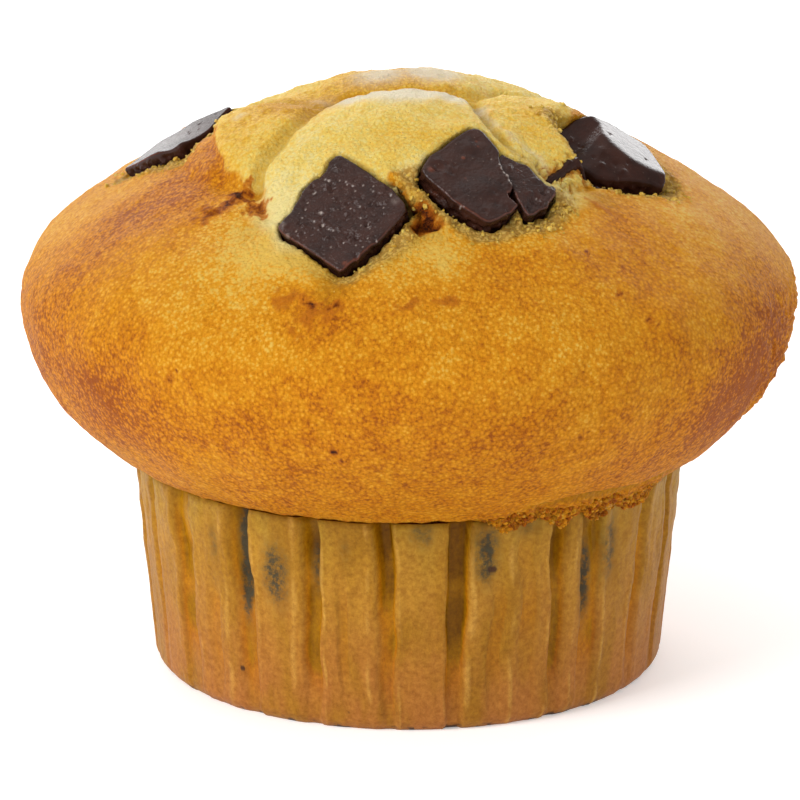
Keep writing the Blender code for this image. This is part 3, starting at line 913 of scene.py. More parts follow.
# %% Points along the mouth of the paper
MOUTH_STRETCHES = (  # from and to in degrees round from the front, number of crumbs
    (13.0, 62.0, 3000), (-16.0, 4.0, 200), (62.0, 340.0, 700),
)
mouth_turns = np.radians(np.concatenate([rng.uniform(*stretch) for stretch in MOUTH_STRETCHES]))
mouth_radius = rng.uniform(26.95, 27.9, len(mouth_turns))
mouth_ring = np.column_stack((np.sin(mouth_turns), np.cos(mouth_turns), 0.0 * mouth_turns)) * 27.0
clumps = 0.75 + 0.7 * bumps(mouth_ring, 2.2, 15)
in_band = ramp(np.abs(np.degrees(mouth_turns) - BAND_MIDDLE), 26.0, 16.0)
hang = 0.5 + 2.3 * in_band * np.clip(clumps, 0.0, 1.3)
hang = rng.uniform(0.0, 1.0, len(mouth_turns)) * hang * ramp(mouth_radius, 28.3, 27.0)
mouth_cloud = np.column_stack((
    mouth_radius * np.sin(mouth_turns), -mouth_radius * np.cos(mouth_turns), LEDGE_HEIGHT + 0.8 - hang,
))
mouth_size = rng.uniform(0.1, 0.32, len(mouth_turns))
print("along the mouth:", len(mouth_cloud), "points")

# %% Crumbs on the points
cloud = np.concatenate((torn_cloud, mouth_cloud))
crumbs = new_piece("loose_crumbs", cloud, [])
on_top = cloud[:, 2] > WIDEST_HEIGHT
paint(crumbs, "crumb_radius", np.concatenate((torn_radius, mouth_size)) * MM)
paint(crumbs, "pale", np.where(on_top, 0.75, 0.4 * rng.random(len(cloud))))
# Loose crumbs get a random share of painted shade, so they sit in with the shaded crumb round them.
paint(crumbs, "painted_shade", 0.75 * rng.random(len(cloud)) ** 2)
paint(crumbs, "tone_and_shade", np.where(on_top, 0.25, rng.uniform(-0.4, 0.7, len(cloud))))
use_rule(crumbs, rule, {"Finish": crumb_finish})
freeze(crumbs)
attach(crumbs, "root")
print("loose crumbs:", len(cloud), "grains,", len(crumbs.data.polygons), "faces")

# %% [markdown]
# ## Chocolate chunks
# Squares snapped from a bar: they keep crisp outlines, but their tops went soft in the oven.
# Each one is a slab cut to its outline, remeshed into even little cells and then marked like
# clay: pits where fat boiled out, bumps, a fold, a dished top. The work is done lying flat in
# the seat's own axes, and the finished slab is carried to the cake at the end.

# %% Points along an outline
SLAB_DEPTH = 3.8  # mm, like the two below
SLAB_BEVEL = 0.16
SLAB_TAPER = 0.25


def dense(outline, step):
    """The outline against the clock, with a point every `step` mm."""
    ends = np.array(outline, float)
    after = np.roll(ends, -1, axis=0)
    if np.sum(ends[:, 0] * after[:, 1] - after[:, 0] * ends[:, 1]) < 0.0:
        ends = ends[::-1]
    rows = []
    for start, end in zip(ends, np.roll(ends, -1, axis=0)):
        count = max(1, int(round(np.linalg.norm(end - start) / step)))
        rows += [start + (end - start) * k / count for k in range(count)]
    return np.array(rows)


# %% The slab
def slab(name, outline, voxel):
    """A closed, evenly meshed slab lying in its seat's axes, its top at height 0."""
    rim = dense(outline, 0.3)
    along = np.roll(rim, -1, axis=0) - np.roll(rim, 1, axis=0)
    outward = np.column_stack((along[:, 1], -along[:, 0]))
    outward /= np.linalg.norm(outward, axis=1)[:, None]
    rings = [
        np.column_stack((rim - outward * inset, np.full(len(rim), height)))
        for inset, height in ((SLAB_BEVEL, 0.0), (0.0, -SLAB_BEVEL), (SLAB_TAPER, -SLAB_DEPTH))
    ]
    count = len(rim)
    order = [list(range(k * count, (k + 1) * count)) for k in range(3)]
    faces = [order[0], order[2][::-1]] + ring_faces(order[0], order[1]) + ring_faces(order[1], order[2])
    piece = new_piece(name, np.concatenate(rings), faces)
    remesh = piece.modifiers.new("clay", "REMESH")
    remesh.mode = "VOXEL"
    remesh.voxel_size = voxel * MM
    remesh.use_smooth_shade = True
    return freeze(piece)


# %% [markdown]
# ## Chocolate finish
# Dark chocolate is close to black. Painted values say where it has a painted brownish highlight
# along its top rim, brown stains, gritty sides, grey fat-bloomed patches and painted grey
# highlights and glints, and where it is glossy or rough; noise breaks all of that up and adds tiny pale
# flecks.

# %% Chocolate material
chocolate_finish, tree, shader = new_finish("dark_chocolate_finish", Roughness=0.27)
place = wire(tree, "ShaderNodeTexCoord").outputs["Object"]
cloud = speckle(tree, place, 2.2)
grain = speckle(tree, place, 0.32, 2.0)
colour = colour_ramp(tree, cloud, ((0.35, (42, 22, 16)), (0.65, (56, 30, 22))))
# A painted highlight along the chunks' top rims, with brown stains and gritty sides.
edge_highlight_and_stain = times(tree, painted(tree, "edge_highlight_and_stain"), add(tree, cloud, 0.5))
colour = overlay(tree, colour, edge_highlight_and_stain, 0.25, 0.95, 1.0, (92, 46, 30))
# Grey where fat bloomed, and painted highlights: soft grey on the front left chunk's corners, a bright line
# on the front centre chunk's snapped rim and glints at pits.
bloom_and_highlight = times(tree, painted(tree, "bloom_and_highlight"), add(tree, grain, 0.5))
colour = overlay(tree, colour, bloom_and_highlight, 0.2, 1.0, 1.0, (150, 136, 128))
colour = overlay(tree, colour, grain, 0.66, 0.78, 0.3, (140, 120, 108))
tree.links.new(colour, shader.inputs["Base Color"])
tree.links.new(painted(tree, "gloss"), shader.inputs["Specular IOR Level"])
bump = wire(tree, "ShaderNodeBump", {
    "Height": grain, "Strength": painted(tree, "rough"), "Distance": 0.00018,
})
tree.links.new(bump.outputs[0], shader.inputs["Normal"])
print("chocolate finish:", len(tree.nodes), "nodes")

# %% [markdown]
# ## Marks on the chunks
# Nearly every mark is a soft round stamp in the plane of the top: bumps, dents, fat-bloomed spots,
# painted highlights and stains have a place of their own, and pits are drawn at random, some with
# a painted glint. The right chunk is also snapped along a crooked ridge, and left of it the top falls away.

# %% Marks of each chunk
BUMPS = {  # across, uphill, radius, height in mm; below 0 is a dent
    "chunk_front_left": (
        (-2.3, 3.1, 0.4, 0.28), (-1.2, 1.8, 0.28, 0.2), (-0.2, 1.3, 0.26, 0.2), (-1.0, 0.6, 0.24, 0.18),
        (0.9, 1.7, 0.26, 0.18), (0.4, 0.2, 0.28, 0.2), (-2.2, 0.0, 0.34, 0.18), (1.5, -2.8, 0.28, 0.26),
        (-3.3, -1.5, 0.28, 0.2), (-1.6, -0.7, 0.24, 0.18), (0.0, -1.5, 0.26, 0.2), (1.5, -1.4, 0.24, 0.18),
        (-1.8, -1.9, 0.24, 0.18), (-0.8, -2.7, 0.28, 0.2), (-3.4, -2.6, 0.28, 0.2), (-4.4, -3.0, 0.6, 0.35),
        (-5.2, -1.8, 0.4, 0.2), (4.6, 2.1, 1.0, -0.12), (-3.9, 0.6, 0.8, -0.1), (1.7, 4.1, 0.8, -0.15),
        (-2.0, 5.6, 0.5, 0.15), (2.6, -4.6, 0.35, -0.3),
    ),
    "chunk_front_centre": (
        (-2.7, 2.1, 0.6, -0.3), (-3.3, 1.9, 0.3, 0.16), (-2.3, 2.9, 0.35, 0.14), (-2.2, 1.3, 0.3, 0.12),
        (0.2, 2.9, 0.3, 0.08), (2.2, 4.8, 0.5, -0.12), (3.5, 1.4, 0.3, 0.22), (3.7, 0.2, 0.3, 0.26),
        (3.7, -0.8, 0.3, 0.2), (1.2, -0.9, 1.6, 0.18), (-1.2, 0.4, 1.4, -0.14), (2.6, -3.8, 0.5, -0.25),
        (0.6, -3.6, 0.7, 0.12), (1.4, 4.2, 1.0, 0.14),
    ),
    "chunk_front_chip": (
        (-1.6, 2.4, 0.4, 0.15), (-0.6, -1.8, 0.8, -0.45), (0.7, -0.9, 0.5, -0.3), (-1.4, -2.6, 0.6, -0.4),
        (0.2, -2.2, 0.3, 0.3), (1.4, -0.8, 0.3, 0.25), (-0.9, -0.9, 0.3, 0.25), (0.4, 0.6, 0.4, 0.15),
    ),
    "chunk_right": (
        (0.2, 0.4, 0.8, 0.12), (-0.6, -1.6, 0.5, -0.12), (1.0, 3.6, 0.5, 0.15), (-1.6, -0.4, 0.4, 0.2),
        (-0.9, -2.6, 0.4, 0.2),
    ),
    "chunk_left": (
        (0.0, 0.0, 3.6, -0.35), (5.4, 1.0, 0.8, 0.25), (0.8, -3.8, 0.7, 0.12), (3.6, -1.4, 0.6, 0.1),
        (2.7, 3.2, 3.2, -0.4), (3.5, -2.6, 2.6, 0.3), (-6.1, -0.8, 2.6, -0.4),
    ),
    "chunk_back_left": ((1.0, 0.6, 1.6, 0.2), (-2.6, -1.0, 0.9, -0.15), (3.0, 2.2, 0.5, 0.15)),
    "chunk_back_right": ((-1.0, 0.6, 1.5, -0.2), (2.0, -1.6, 0.8, 0.18), (0.4, 3.4, 0.5, 0.12)),
}
print(sum(len(marks) for marks in BUMPS.values()), "bumps and dents on", len(BUMPS), "chunks")

# %% Grey patches and painted highlights, stains and the ridge
BLOOMS_AND_HIGHLIGHTS = {  # pale fat-bloomed spots and painted highlights: across, uphill, radius in mm and strength
    "chunk_front_left": (
        (-4.4, -3.0, 0.6, 0.5), (-5.2, -1.8, 0.5, 0.5), (4.6, 2.1, 0.9, 0.45), (-2.2, 0.0, 0.4, 0.4),
    ),
    "chunk_front_centre": (
        (3.5, 1.7, 0.22, 1.0), (3.5, 1.2, 0.22, 1.0), (3.6, 0.7, 0.22, 1.2), (3.7, 0.2, 0.24, 1.2),
        (3.75, -0.3, 0.24, 1.2), (3.8, -0.8, 0.24, 1.0), (-3.2, 1.7, 0.5, 0.25),
    ),
    "chunk_left": ((0.0, -2.6, 1.8, 0.35),),
    "chunk_back_left": ((1.0, 0.6, 1.2, 0.3),),
}
RUSTS = {  # cocoa-brown stains: across, uphill, radius in mm and strength
    "chunk_front_left": ((1.7, -5.5, 0.5, 0.8), (2.5, -4.8, 0.4, 0.8)),
    "chunk_front_centre": (
        (-3.4, 1.9, 0.7, 0.8), (0.2, 2.9, 0.26, 1.6), (2.2, 4.8, 0.26, 0.8), (2.1, 4.1, 0.24, 0.8),
        (-0.4, 0.5, 0.3, 0.6),
    ),
    "chunk_front_chip": ((-0.9, 0.4, 0.4, 0.6), (-0.9, 2.0, 0.3, 0.5)),
}
PITS = {  # how many little pits; a chunk that isn't named has 6
    "chunk_front_left": 150, "chunk_front_centre": 14, "chunk_left": 14, "chunk_right": 14,
    "chunk_back_left": 60, "chunk_back_right": 24,
}
CALM = {  # share of the usual swells, and roughness of the top; 1.0 and 0.8 elsewhere
    "chunk_right": (0.3, 0.25), "chunk_left": (0.4, 0.3), "chunk_front_centre": (0.7, 0.4),
}
RIDGE_LINE = (  # uphill and across in mm
    (-6.0, 3.0), (-4.4, 1.8), (-3.5, 1.5), (-2.3, 1.2), (-0.9, 1.5), (0.3, 1.9), (1.5, 2.8), (2.4, 4.8),
    (5.0, 6.0),
)
RIDGE_FALL = 0.42  # mm down for each mm left of the ridge
RIDGE_SOFTNESS = 0.18

# %% Stamps, pits and the ridge
def stamps(flat, marks):
    """Sum of soft round stamps: across, uphill, radius and height of each."""
    total = np.zeros(len(flat))
    for across, uphill, radius, height in marks:
        away = np.hypot(flat[:, 0] - across, flat[:, 1] - uphill) / radius
        total += height * np.exp(-1.6 * away * away)
    return total


def draw_pits(rng, count):
    """Little pits at random places: across, uphill, radius and height of each."""
    return [
        (rng.uniform(-4.0, 4.0), rng.uniform(-4.0, 4.4), rng.uniform(0.14, 0.28), -rng.uniform(0.08, 0.18))
        for _ in range(count)
    ]


def past_ridge(flat):
    """How far left of the ridge each place is, in mm."""
    uphill, across = np.array(RIDGE_LINE).T
    return np.interp(flat[:, 1], uphill, across) - flat[:, 0]


# %% Wear and shine
def wander(local, side):
    """How far each point moves outward: a little everywhere, craggy on the sides."""
    outward = 0.1 * bumps(local, 1.6, 21) + 0.36 * side * bumps(local, 0.6, 22)
    return outward + 0.1 * side * bumps(local * (1.0, 1.0, 0.25), 0.6, 25)


def shine(node, flat, side):
    """How glossy each point is: the left chunk low down, the right one on its ridge's high side."""
    gloss = np.full(len(flat), 0.26)
    if node == "chunk_left":
        gloss -= 0.22 * ramp(flat[:, 1], -5.0, 3.5)
    if node == "chunk_right":
        gloss += 0.2 - 0.36 * ramp(past_ridge(flat), -0.2, 0.3)
    return gloss - 0.14 * side


def stain(node, local, flat, gap, rise, side):
    """How brown each point is: a painted highlight along the top rim, more so downhill, gritty sides and
    listed spots.
    """
    brim_highlight = ramp(np.abs(gap + 0.08), 0.16, 0.04) * ramp(local[:, 2] - rise, -0.24, -0.06)
    gritty = ramp(bumps(local, 0.5, 26), 0.1, 0.4) * side
    lower = ramp(-flat[:, 1] / (np.linalg.norm(flat, axis=1) + 1e-6), -0.2, 0.5)
    spots = stamps(flat, RUSTS.get(node, ())) * (1.0 - side)
    return brim_highlight * (0.15 + 0.6 * lower) + 0.4 * gritty + spots


# %% Make, mark and place the chunks
FRONT_CELL, BACK_CELL = 0.125, 0.2  # mm, size of the little cells
rng = np.random.default_rng(7)
for node, outline in OUTLINES.items():
    piece = slab(node + "_chocolate", outline, BACK_CELL if "back" in node else FRONT_CELL)
    local = points_of(piece)
    flat = local[:, :2].copy()
    gap = outline_gap(outline, flat)
    top = ramp(local[:, 2], -1.0, -0.25)
    side = 1.0 - top
    reach = np.linalg.norm(flat, axis=1)[:, None] + 1e-6
    local[:, :2] += flat / reach * wander(local, side)[:, None]
    swells, roughness = CALM.get(node, (1.0, 0.8))
    pits = draw_pits(rng, PITS.get(node, 6))
    rise = swells * rough(local, (0.14, 3.2, 23), (0.03, 0.7, 24))
    rise += stamps(flat, BUMPS[node])
    rise += stamps(flat, pits)
    local[:, 2] += rise * top
    if node == "chunk_right":
        past = past_ridge(flat) / RIDGE_SOFTNESS
        local[:, 2] -= RIDGE_FALL * RIDGE_SOFTNESS * np.log1p(np.exp(past))
    # Painted glints just beside some of the pits.
    sparkles = [(across + 0.08, uphill + 0.12, 0.17, 0.8) for across, uphill, _, _ in pits[::4]]
    paint(piece, "edge_highlight_and_stain", stain(node, local, flat, gap, rise, side))
    paint(piece, "gloss", shine(node, flat, side))
    paint(piece, "rough", roughness + (1.0 - roughness) * side)
    paint(piece, "bloom_and_highlight", stamps(flat, list(BLOOMS_AND_HIGHLIGHTS.get(node, ())) + sparkles) * top)
    move_points(piece, from_seat(SEATS[node], local))
    piece.data.materials.append(chocolate_finish)
    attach(piece, "root")
    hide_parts(node)
    print(piece.name, len(piece.data.polygons), "faces")

# %% [markdown]
# ## A thread of melted chocolate
# One chunk wept a little in the oven and left a thin dark thread on the crust between the chip
# and the right chunk. It is a tapering tube laid along the skin, half sunk in it.

# %% Path of the thread
THREAD = (  # x, y and radius in mm
    (13.0, -16.4, 0.35), (14.0, -15.2, 0.5), (15.4, -13.4, 0.55), (17.0, -12.4, 0.5), (18.6, -12.8, 0.4),
)
THREAD_RINGS, THREAD_SIDES = 25, 10
FAR = 99.0  # mm, keeps points of the underside out of the search


def on_skin(x, y):
    """The cake's top point nearest to a place in plan."""
    reach = np.hypot(skin_points[:, 0] - x, skin_points[:, 1] - y)
    nearest = int(np.argmin(reach + (skin_points[:, 2] < WIDEST_HEIGHT) * FAR))
    return skin_points[nearest], skin_normals[nearest]


stations = np.array(THREAD)
share = np.linspace(0.0, len(stations) - 1.0, THREAD_RINGS)
path = np.column_stack([np.interp(share, np.arange(len(stations)), column) for column in stations.T])
print("thread:", round(float(np.linalg.norm(np.diff(path[:, :2], axis=0), axis=1).sum()), 1), "mm long")

# %% Rings round the path
turns = np.linspace(0.0, 2.0 * math.pi, THREAD_SIDES, endpoint=False)
rings = []
for k, (x, y, radius) in enumerate(path):
    spot, up = on_skin(x, y)
    ahead = np.append(path[min(k + 1, THREAD_RINGS - 1), :2] - path[max(k - 1, 0), :2], 0.0)
    beside = np.cross(ahead / np.linalg.norm(ahead), up)
    swell = radius * (1.0 + 0.16 * math.sin(1.3 * k) * math.sin(0.7 * k + 1.0))
    ring = np.outer(np.cos(turns), beside) + 0.8 * np.outer(np.sin(turns), up)
    rings.append((x, y, spot[2]) + swell * ring)

# %% Skin over the rings
ring_rows = [list(range(k * THREAD_SIDES, (k + 1) * THREAD_SIDES)) for k in range(THREAD_RINGS)]
thread_faces = []
for first, second in zip(ring_rows, ring_rows[1:]):
    thread_faces += ring_faces(second, first)
thread_faces += [ring_rows[0], ring_rows[-1][::-1]]
thread = new_piece("melted_thread", np.concatenate(rings), thread_faces)
shape = bmesh.new()
shape.from_mesh(thread.data)
bmesh.ops.recalc_face_normals(shape, faces=shape.faces)
shape.to_mesh(thread.data)
shape.free()
for name, value in {"edge_highlight_and_stain": 0.25, "bloom_and_highlight": 0.0, "rough": 0.8, "gloss": 0.1}.items():
    paint(thread, name, np.full(THREAD_RINGS * THREAD_SIDES, value))
thread.data.materials.append(chocolate_finish)
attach(thread, "root")
print("thread:", len(thread.data.polygons), "faces")

# %% [markdown]
# ## The pleated paper case
# A disc of greaseproof paper pressed into a fluted mould. Flat panels are parted by folded
# valleys, many of them with one crisp side where the panel laps over it. The rule is simple,
# so Geometry Nodes fold a flat sheet: each point knows how far round it is, how far up, and
# how deep in a valley. Beside many folds the paper stands out a little, and these raised lips are painted
# lighter: a painted highlight.

# %% Pleat sizes
PAPER_THICKNESS = 0.2  # mm, as all lengths in this cell
WALL_COLUMNS = 840
WALL_ROWS = 34
FLOOR_ROWS = 6
BASE_RADIUS, MOUTH_RADIUS, CASE_HEIGHT = 25.0, 27.0, 21.3
BASE_ROUNDING = 1.3
MID_RADIUS = 26.0
DEEPEST = 1.35  # of a fold, in the units of the depths below

# %% Valleys and lips
# Each valley: from and to in degrees round from the front, depth, crisp side (-1 left, 1 right,
# 0 both), and how far up it goes as a share of the height.
VALLEYS = (
    (-83.0, -77.0, 0.8, 1, 1.0), (-69.8, -66.6, 0.5, 1, 1.0), (-58.4, -51.4, 0.8, 0, 1.0),
    (-48.2, -44.2, 0.5, 1, 0.55), (-41.4, -34.4, 1.15, 1, 1.0), (-23.5, -18.2, 1.2, 1, 1.0),
    (-14.6, -11.8, 0.25, 0, 0.7), (-7.4, -2.6, 1.15, 1, 1.0), (8.8, 14.0, 1.35, 0, 1.0),
    (17.4, 20.8, 0.4, 0, 0.75), (23.4, 28.0, 0.3, 0, 1.0), (30.8, 35.4, 1.05, -1, 1.0),
    (38.4, 44.8, 0.85, 0, 1.0), (55.8, 60.2, 0.75, -1, 1.0), (68.6, 72.6, 0.8, 0, 1.0),
    (81.0, 86.0, 0.9, -1, 1.0),
)
LIP_HIGHLIGHTS = (  # painted highlight lines on raised lips: degrees round, half width in degrees, strength
    (-73.5, 0.6, 0.5), (-65.6, 0.5, 0.4), (-59.2, 0.5, 0.7), (-50.6, 0.5, 0.7), (-42.6, 0.8, 0.8),
    (-33.8, 0.5, 0.9), (-24.7, 0.9, 0.9), (-17.7, 0.4, 1.0), (-8.2, 0.6, 0.9), (-2.0, 0.4, 0.7),
    (9.0, 0.4, 0.7), (14.5, 0.7, 1.0), (22.2, 0.7, 0.9), (30.2, 0.4, 1.0), (37.0, 0.6, 0.8),
    (46.0, 0.6, 1.0), (54.9, 0.5, 0.6), (61.2, 0.5, 0.5), (67.6, 0.5, 0.5), (74.0, 0.6, 0.5),
)
SLANTS = ((11.4, -2.6), (-38.0, 1.6))  # degrees round, degrees the fold has moved at the base
rng = np.random.default_rng(3)
back_starts = [95.0 + 14.6 * k + rng.uniform(-2.0, 2.0) for k in range(13)]
BACK_VALLEYS = tuple(
    (start, start + rng.uniform(4.0, 6.5), rng.uniform(0.6, 1.2), (-1, 0, 1)[k % 3], 1.0)
    for k, start in enumerate(back_starts)
)
BACK_LIP_HIGHLIGHTS = tuple((start - 0.8, 0.6, 0.8) for start in back_starts)
print(len(VALLEYS) + len(BACK_VALLEYS), "valleys,", len(LIP_HIGHLIGHTS) + len(BACK_LIP_HIGHLIGHTS), "lips")

# %% Where a place is in its valley
def turned_by(turns, centre):
    """Signed angle from a centre, in degrees."""
    return (turns - centre + 180.0) % 360.0 - 180.0


def on_wall(turns, heights):
    """Places on a plain round wall, for noise to be read at."""
    turns = np.radians(turns)
    return np.column_stack((MID_RADIUS * np.sin(turns), -MID_RADIUS * np.cos(turns), heights))


# %% Depth of the folds
def fold_depth(turns, rise):
    """How deep in a valley each turn in degrees is at one height share, and its lips with their painted
    highlight.
    """
    fold = np.zeros(len(turns))
    for start, end, depth, crisp, top in VALLEYS + BACK_VALLEYS:
        half = (end - start) / 2.0 * (0.86 + 0.14 * rise)
        share = turned_by(turns, (start + end) / 2.0) / half
        left = ramp(share, -1.0, -0.72 if crisp <= 0 else 0.0)
        right = ramp(share, 1.0, 0.72 if crisp >= 0 else 0.0)
        fade = ramp(rise, top + 0.12, top - 0.12) if top < 1.0 else 1.0
        fold = np.maximum(fold, depth * left * right * fade)
    lip_highlight = np.zeros(len(turns))
    for centre, half, strength in LIP_HIGHLIGHTS + BACK_LIP_HIGHLIGHTS:
        lip_highlight = np.maximum(lip_highlight, strength * np.exp(-(turned_by(turns, centre) / half) ** 2))
    return fold, lip_highlight


def folds_in_row(columns, rise):
    """Fold depth and lip of every column in one row; the folds wander and lean on their way up."""
    lean = 1.2 * np.sin(np.radians(columns * 3.0 + 40.0)) * (rise - 0.5)
    places = on_wall(columns, np.full(len(columns), rise * CASE_HEIGHT))
    lean += rough(places, (1.4, 6.0, 31), (0.2, 2.4, 32))
    for centre, shift in SLANTS:
        lean -= shift * (1.0 - rise) * np.exp(-(turned_by(columns, centre) / 6.0) ** 2)
    fold, lip_highlight = fold_depth(columns + lean, rise)
    fold *= (0.55 + 0.45 * ramp(rise, 0.02, 0.3)) * (1.0 + 0.7 * bumps(places, 4.0, 33))
    lip_highlight *= np.clip(0.8 + 1.6 * bumps(places, 3.0, 34), 0.0, 1.3)
    return np.minimum(fold, DEEPEST), lip_highlight


# %% Sheet of points
columns = np.arange(WALL_COLUMNS) * 360.0 / WALL_COLUMNS
rows = [(share, 0.0) for share in np.linspace(0.12, 0.96, FLOOR_ROWS)]
for k in range(WALL_ROWS + 1):
    rise = (k / WALL_ROWS) ** 1.15
    short = max(0.0, 1.0 - rise * CASE_HEIGHT / BASE_ROUNDING)
    rows.append((1.0 - 0.03 * short ** 2, rise))
sheet_points = [(0.0, 0.0, 0.0)]
sheet_values = [(0.0, 0.0, 0.0, 0.0, 0.0)]
for reach, rise in rows:
    for turn, fold, lip_highlight in zip(columns, *folds_in_row(columns, rise)):
        sheet_points.append((turn / 10.0, reach + rise, 0.0))
        sheet_values.append((turn, reach, rise, fold, lip_highlight))
print("sheet:", len(sheet_points), "points")

# %% Faces and painted values of the sheet
sheet_faces = [(0, 1 + (i + 1) % WALL_COLUMNS, 1 + i) for i in range(WALL_COLUMNS)]
for r in range(len(rows) - 1):
    first = list(range(1 + r * WALL_COLUMNS, 1 + (r + 1) * WALL_COLUMNS))
    sheet_faces += ring_faces([i + WALL_COLUMNS for i in first], first)
paper = new_piece("paper_case_pleats", np.array(sheet_points), sheet_faces)
sheet_values = np.array(sheet_values)
for index, label in enumerate(("turn", "reach", "rise", "fold", "lip_highlight")):
    paint(paper, label, sheet_values[:, index])
print("sheet:", len(sheet_faces), "faces")

# %% Fold the sheet with Geometry Nodes
rule, given = new_rule("fold_paper", {
    "Base radius": ("Float", BASE_RADIUS * MM),
    "Mouth radius": ("Float", MOUTH_RADIUS * MM),
    "Height": ("Float", CASE_HEIGHT * MM),
    "Base fold": ("Float", 0.0004),
    "Mouth fold": ("Float", 0.0013),
    "Lip": ("Float", 0.00009),
    "Crumple": ("Float", 0.001),
    "Paper": ("Material", None),
})
rise = stored(rule, "rise")
panels = wire(rule, "ShaderNodeMapRange", {
    "Value": rise, "To Min": given.outputs["Base radius"], "To Max": given.outputs["Mouth radius"],
}).outputs[0]
fold_size = wire(rule, "ShaderNodeMapRange", {
    "Value": rise, "To Min": given.outputs["Base fold"], "To Max": given.outputs["Mouth fold"],
}).outputs[0]
wall = arithmetic(rule, "SUBTRACT", panels, times(rule, stored(rule, "fold"), fold_size))
wall = add(rule, wall, times(rule, stored(rule, "lip_highlight"), given.outputs["Lip"]))
angle = arithmetic(rule, "RADIANS", stored(rule, "turn"))
flat_x = arithmetic(rule, "SINE", angle)
flat_y = times(rule, arithmetic(rule, "COSINE", angle), -1.0)
low = times(rule, rise, 0.7)
place = wire(rule, "ShaderNodeCombineXYZ", {0: flat_x, 1: flat_y, 2: low}).outputs[0]
crumple = wire(rule, "ShaderNodeTexNoise", {"Vector": place, "Scale": 9.0, "Detail": 2.0}).outputs["Fac"]
crumple = times(rule, arithmetic(rule, "SUBTRACT", crumple, 0.5), given.outputs["Crumple"])
wall = add(rule, wall, times(rule, crumple, rise))
radius = times(rule, wall, stored(rule, "reach"))
up = times(rule, rise, given.outputs["Height"])
spot = wire(rule, "ShaderNodeCombineXYZ", {
    0: times(rule, radius, flat_x), 1: times(rule, radius, flat_y), 2: up,
}).outputs[0]
folded = wire(rule, "GeometryNodeSetPosition", {"Geometry": given.outputs["Geometry"], "Position": spot})
plain = wire(rule, "GeometryNodeRealizeInstances", {0: folded.outputs[0]})
finished = wire(rule, "GeometryNodeSetMaterial", {
    "Geometry": plain.outputs[0], "Material": given.outputs["Paper"],
})
wire(rule, "NodeGroupOutput", {0: finished.outputs[0]})
print("folding rule:", len(rule.nodes), "nodes")

# %% [markdown]
# ## Baking paper finish
# Brown greaseproof paper is satin and a little see-through, so valleys glow amber and go olive
# towards the mouth, where steam and butter soaked them. Deep in a valley the colour is darker
# still, partly soaked paper and partly painted shade. Melted chocolate inside shows as
# blue-black stains. Near the base the paper stayed dry and is a pinkish tan.

# %% Paper material
paper_finish, tree, shader = new_finish("baking_paper_finish", Roughness=0.5, Specular_IOR_Level=0.12)
place = wire(tree, "ShaderNodeTexCoord").outputs["Object"]
tall = wire(tree, "ShaderNodeMapping", {"Vector": place, "Scale": (1.0, 1.0, 0.3)}).outputs[0]
soak = speckle(tree, tall, 5.0)
cloud = speckle(tree, tall, 2.2)
fibre = speckle(tree, place, 0.5, 4.0, 0.75)
mottle = speckle(tree, place, 1.1, 5.0, 0.75)
rise = add(tree, painted(tree, "rise"), around(tree, cloud, 0.5))
panel = colour_ramp(tree, rise, (
    (0.0, (172, 110, 50)), (0.3, (172, 114, 42)), (0.7, (178, 128, 40)), (1.0, (168, 128, 36)),
))
panel = overlay(tree, panel, soak, 0.42, 0.62, 0.8, (158, 110, 20))
valley = colour_ramp(tree, rise, (
    (0.0, (170, 106, 40)), (0.3, (180, 112, 14)), (0.7, (190, 126, 4)), (1.0, (166, 120, 6)),
))
higher = remap(tree, painted(tree, "rise"), 0.0, 0.45, 0.3, 1.0)
depth = times(tree, painted(tree, "fold"), higher)
colour = blend(tree, remap(tree, depth, 0.08, 0.7), panel, valley)
# Deeper in a valley the colour darkens: partly soaked paper, partly painted shade.
colour = overlay(tree, colour, depth, 0.55, 0.95, 1.0, (156, 108, 2))
colour = overlay(tree, colour, depth, 1.0, DEEPEST, 0.85, (130, 86, 0))

# %% Painted highlights on the lips, stains, dirt and fibres
# Painted highlight along the raised lips beside the folds.
lip_highlight = times(tree, painted(tree, "lip_highlight"), add(tree, mottle, 0.4))
colour = overlay(tree, colour, lip_highlight, 0.2, 1.2, 0.5, (212, 164, 76))
blotch = remap(tree, add(tree, fibre, mottle), 0.7, 1.3, 0.4, 1.6)
stain = times(tree, painted(tree, "stain"), blotch)
colour = overlay(tree, colour, stain, 0.05, 1.15, 0.92, (52, 54, 44))
colour = overlay(tree, colour, painted(tree, "dirt"), 0.3, 0.8, 0.9, (66, 40, 28))
fibres = colour_ramp(tree, fibre, ((0.32, (206, 192, 168)), (0.66, (255, 255, 255))))
colour = blend(tree, 1.0, colour, fibres, "MULTIPLY")
tree.links.new(colour, shader.inputs["Base Color"])
relief = add(tree, fibre, times(tree, cloud, 1.5))
bump = wire(tree, "ShaderNodeBump", {"Height": relief, "Strength": 0.35, "Distance": 0.00015})
tree.links.new(bump.outputs[0], shader.inputs["Normal"])
print("paper finish:", len(tree.nodes), "nodes")

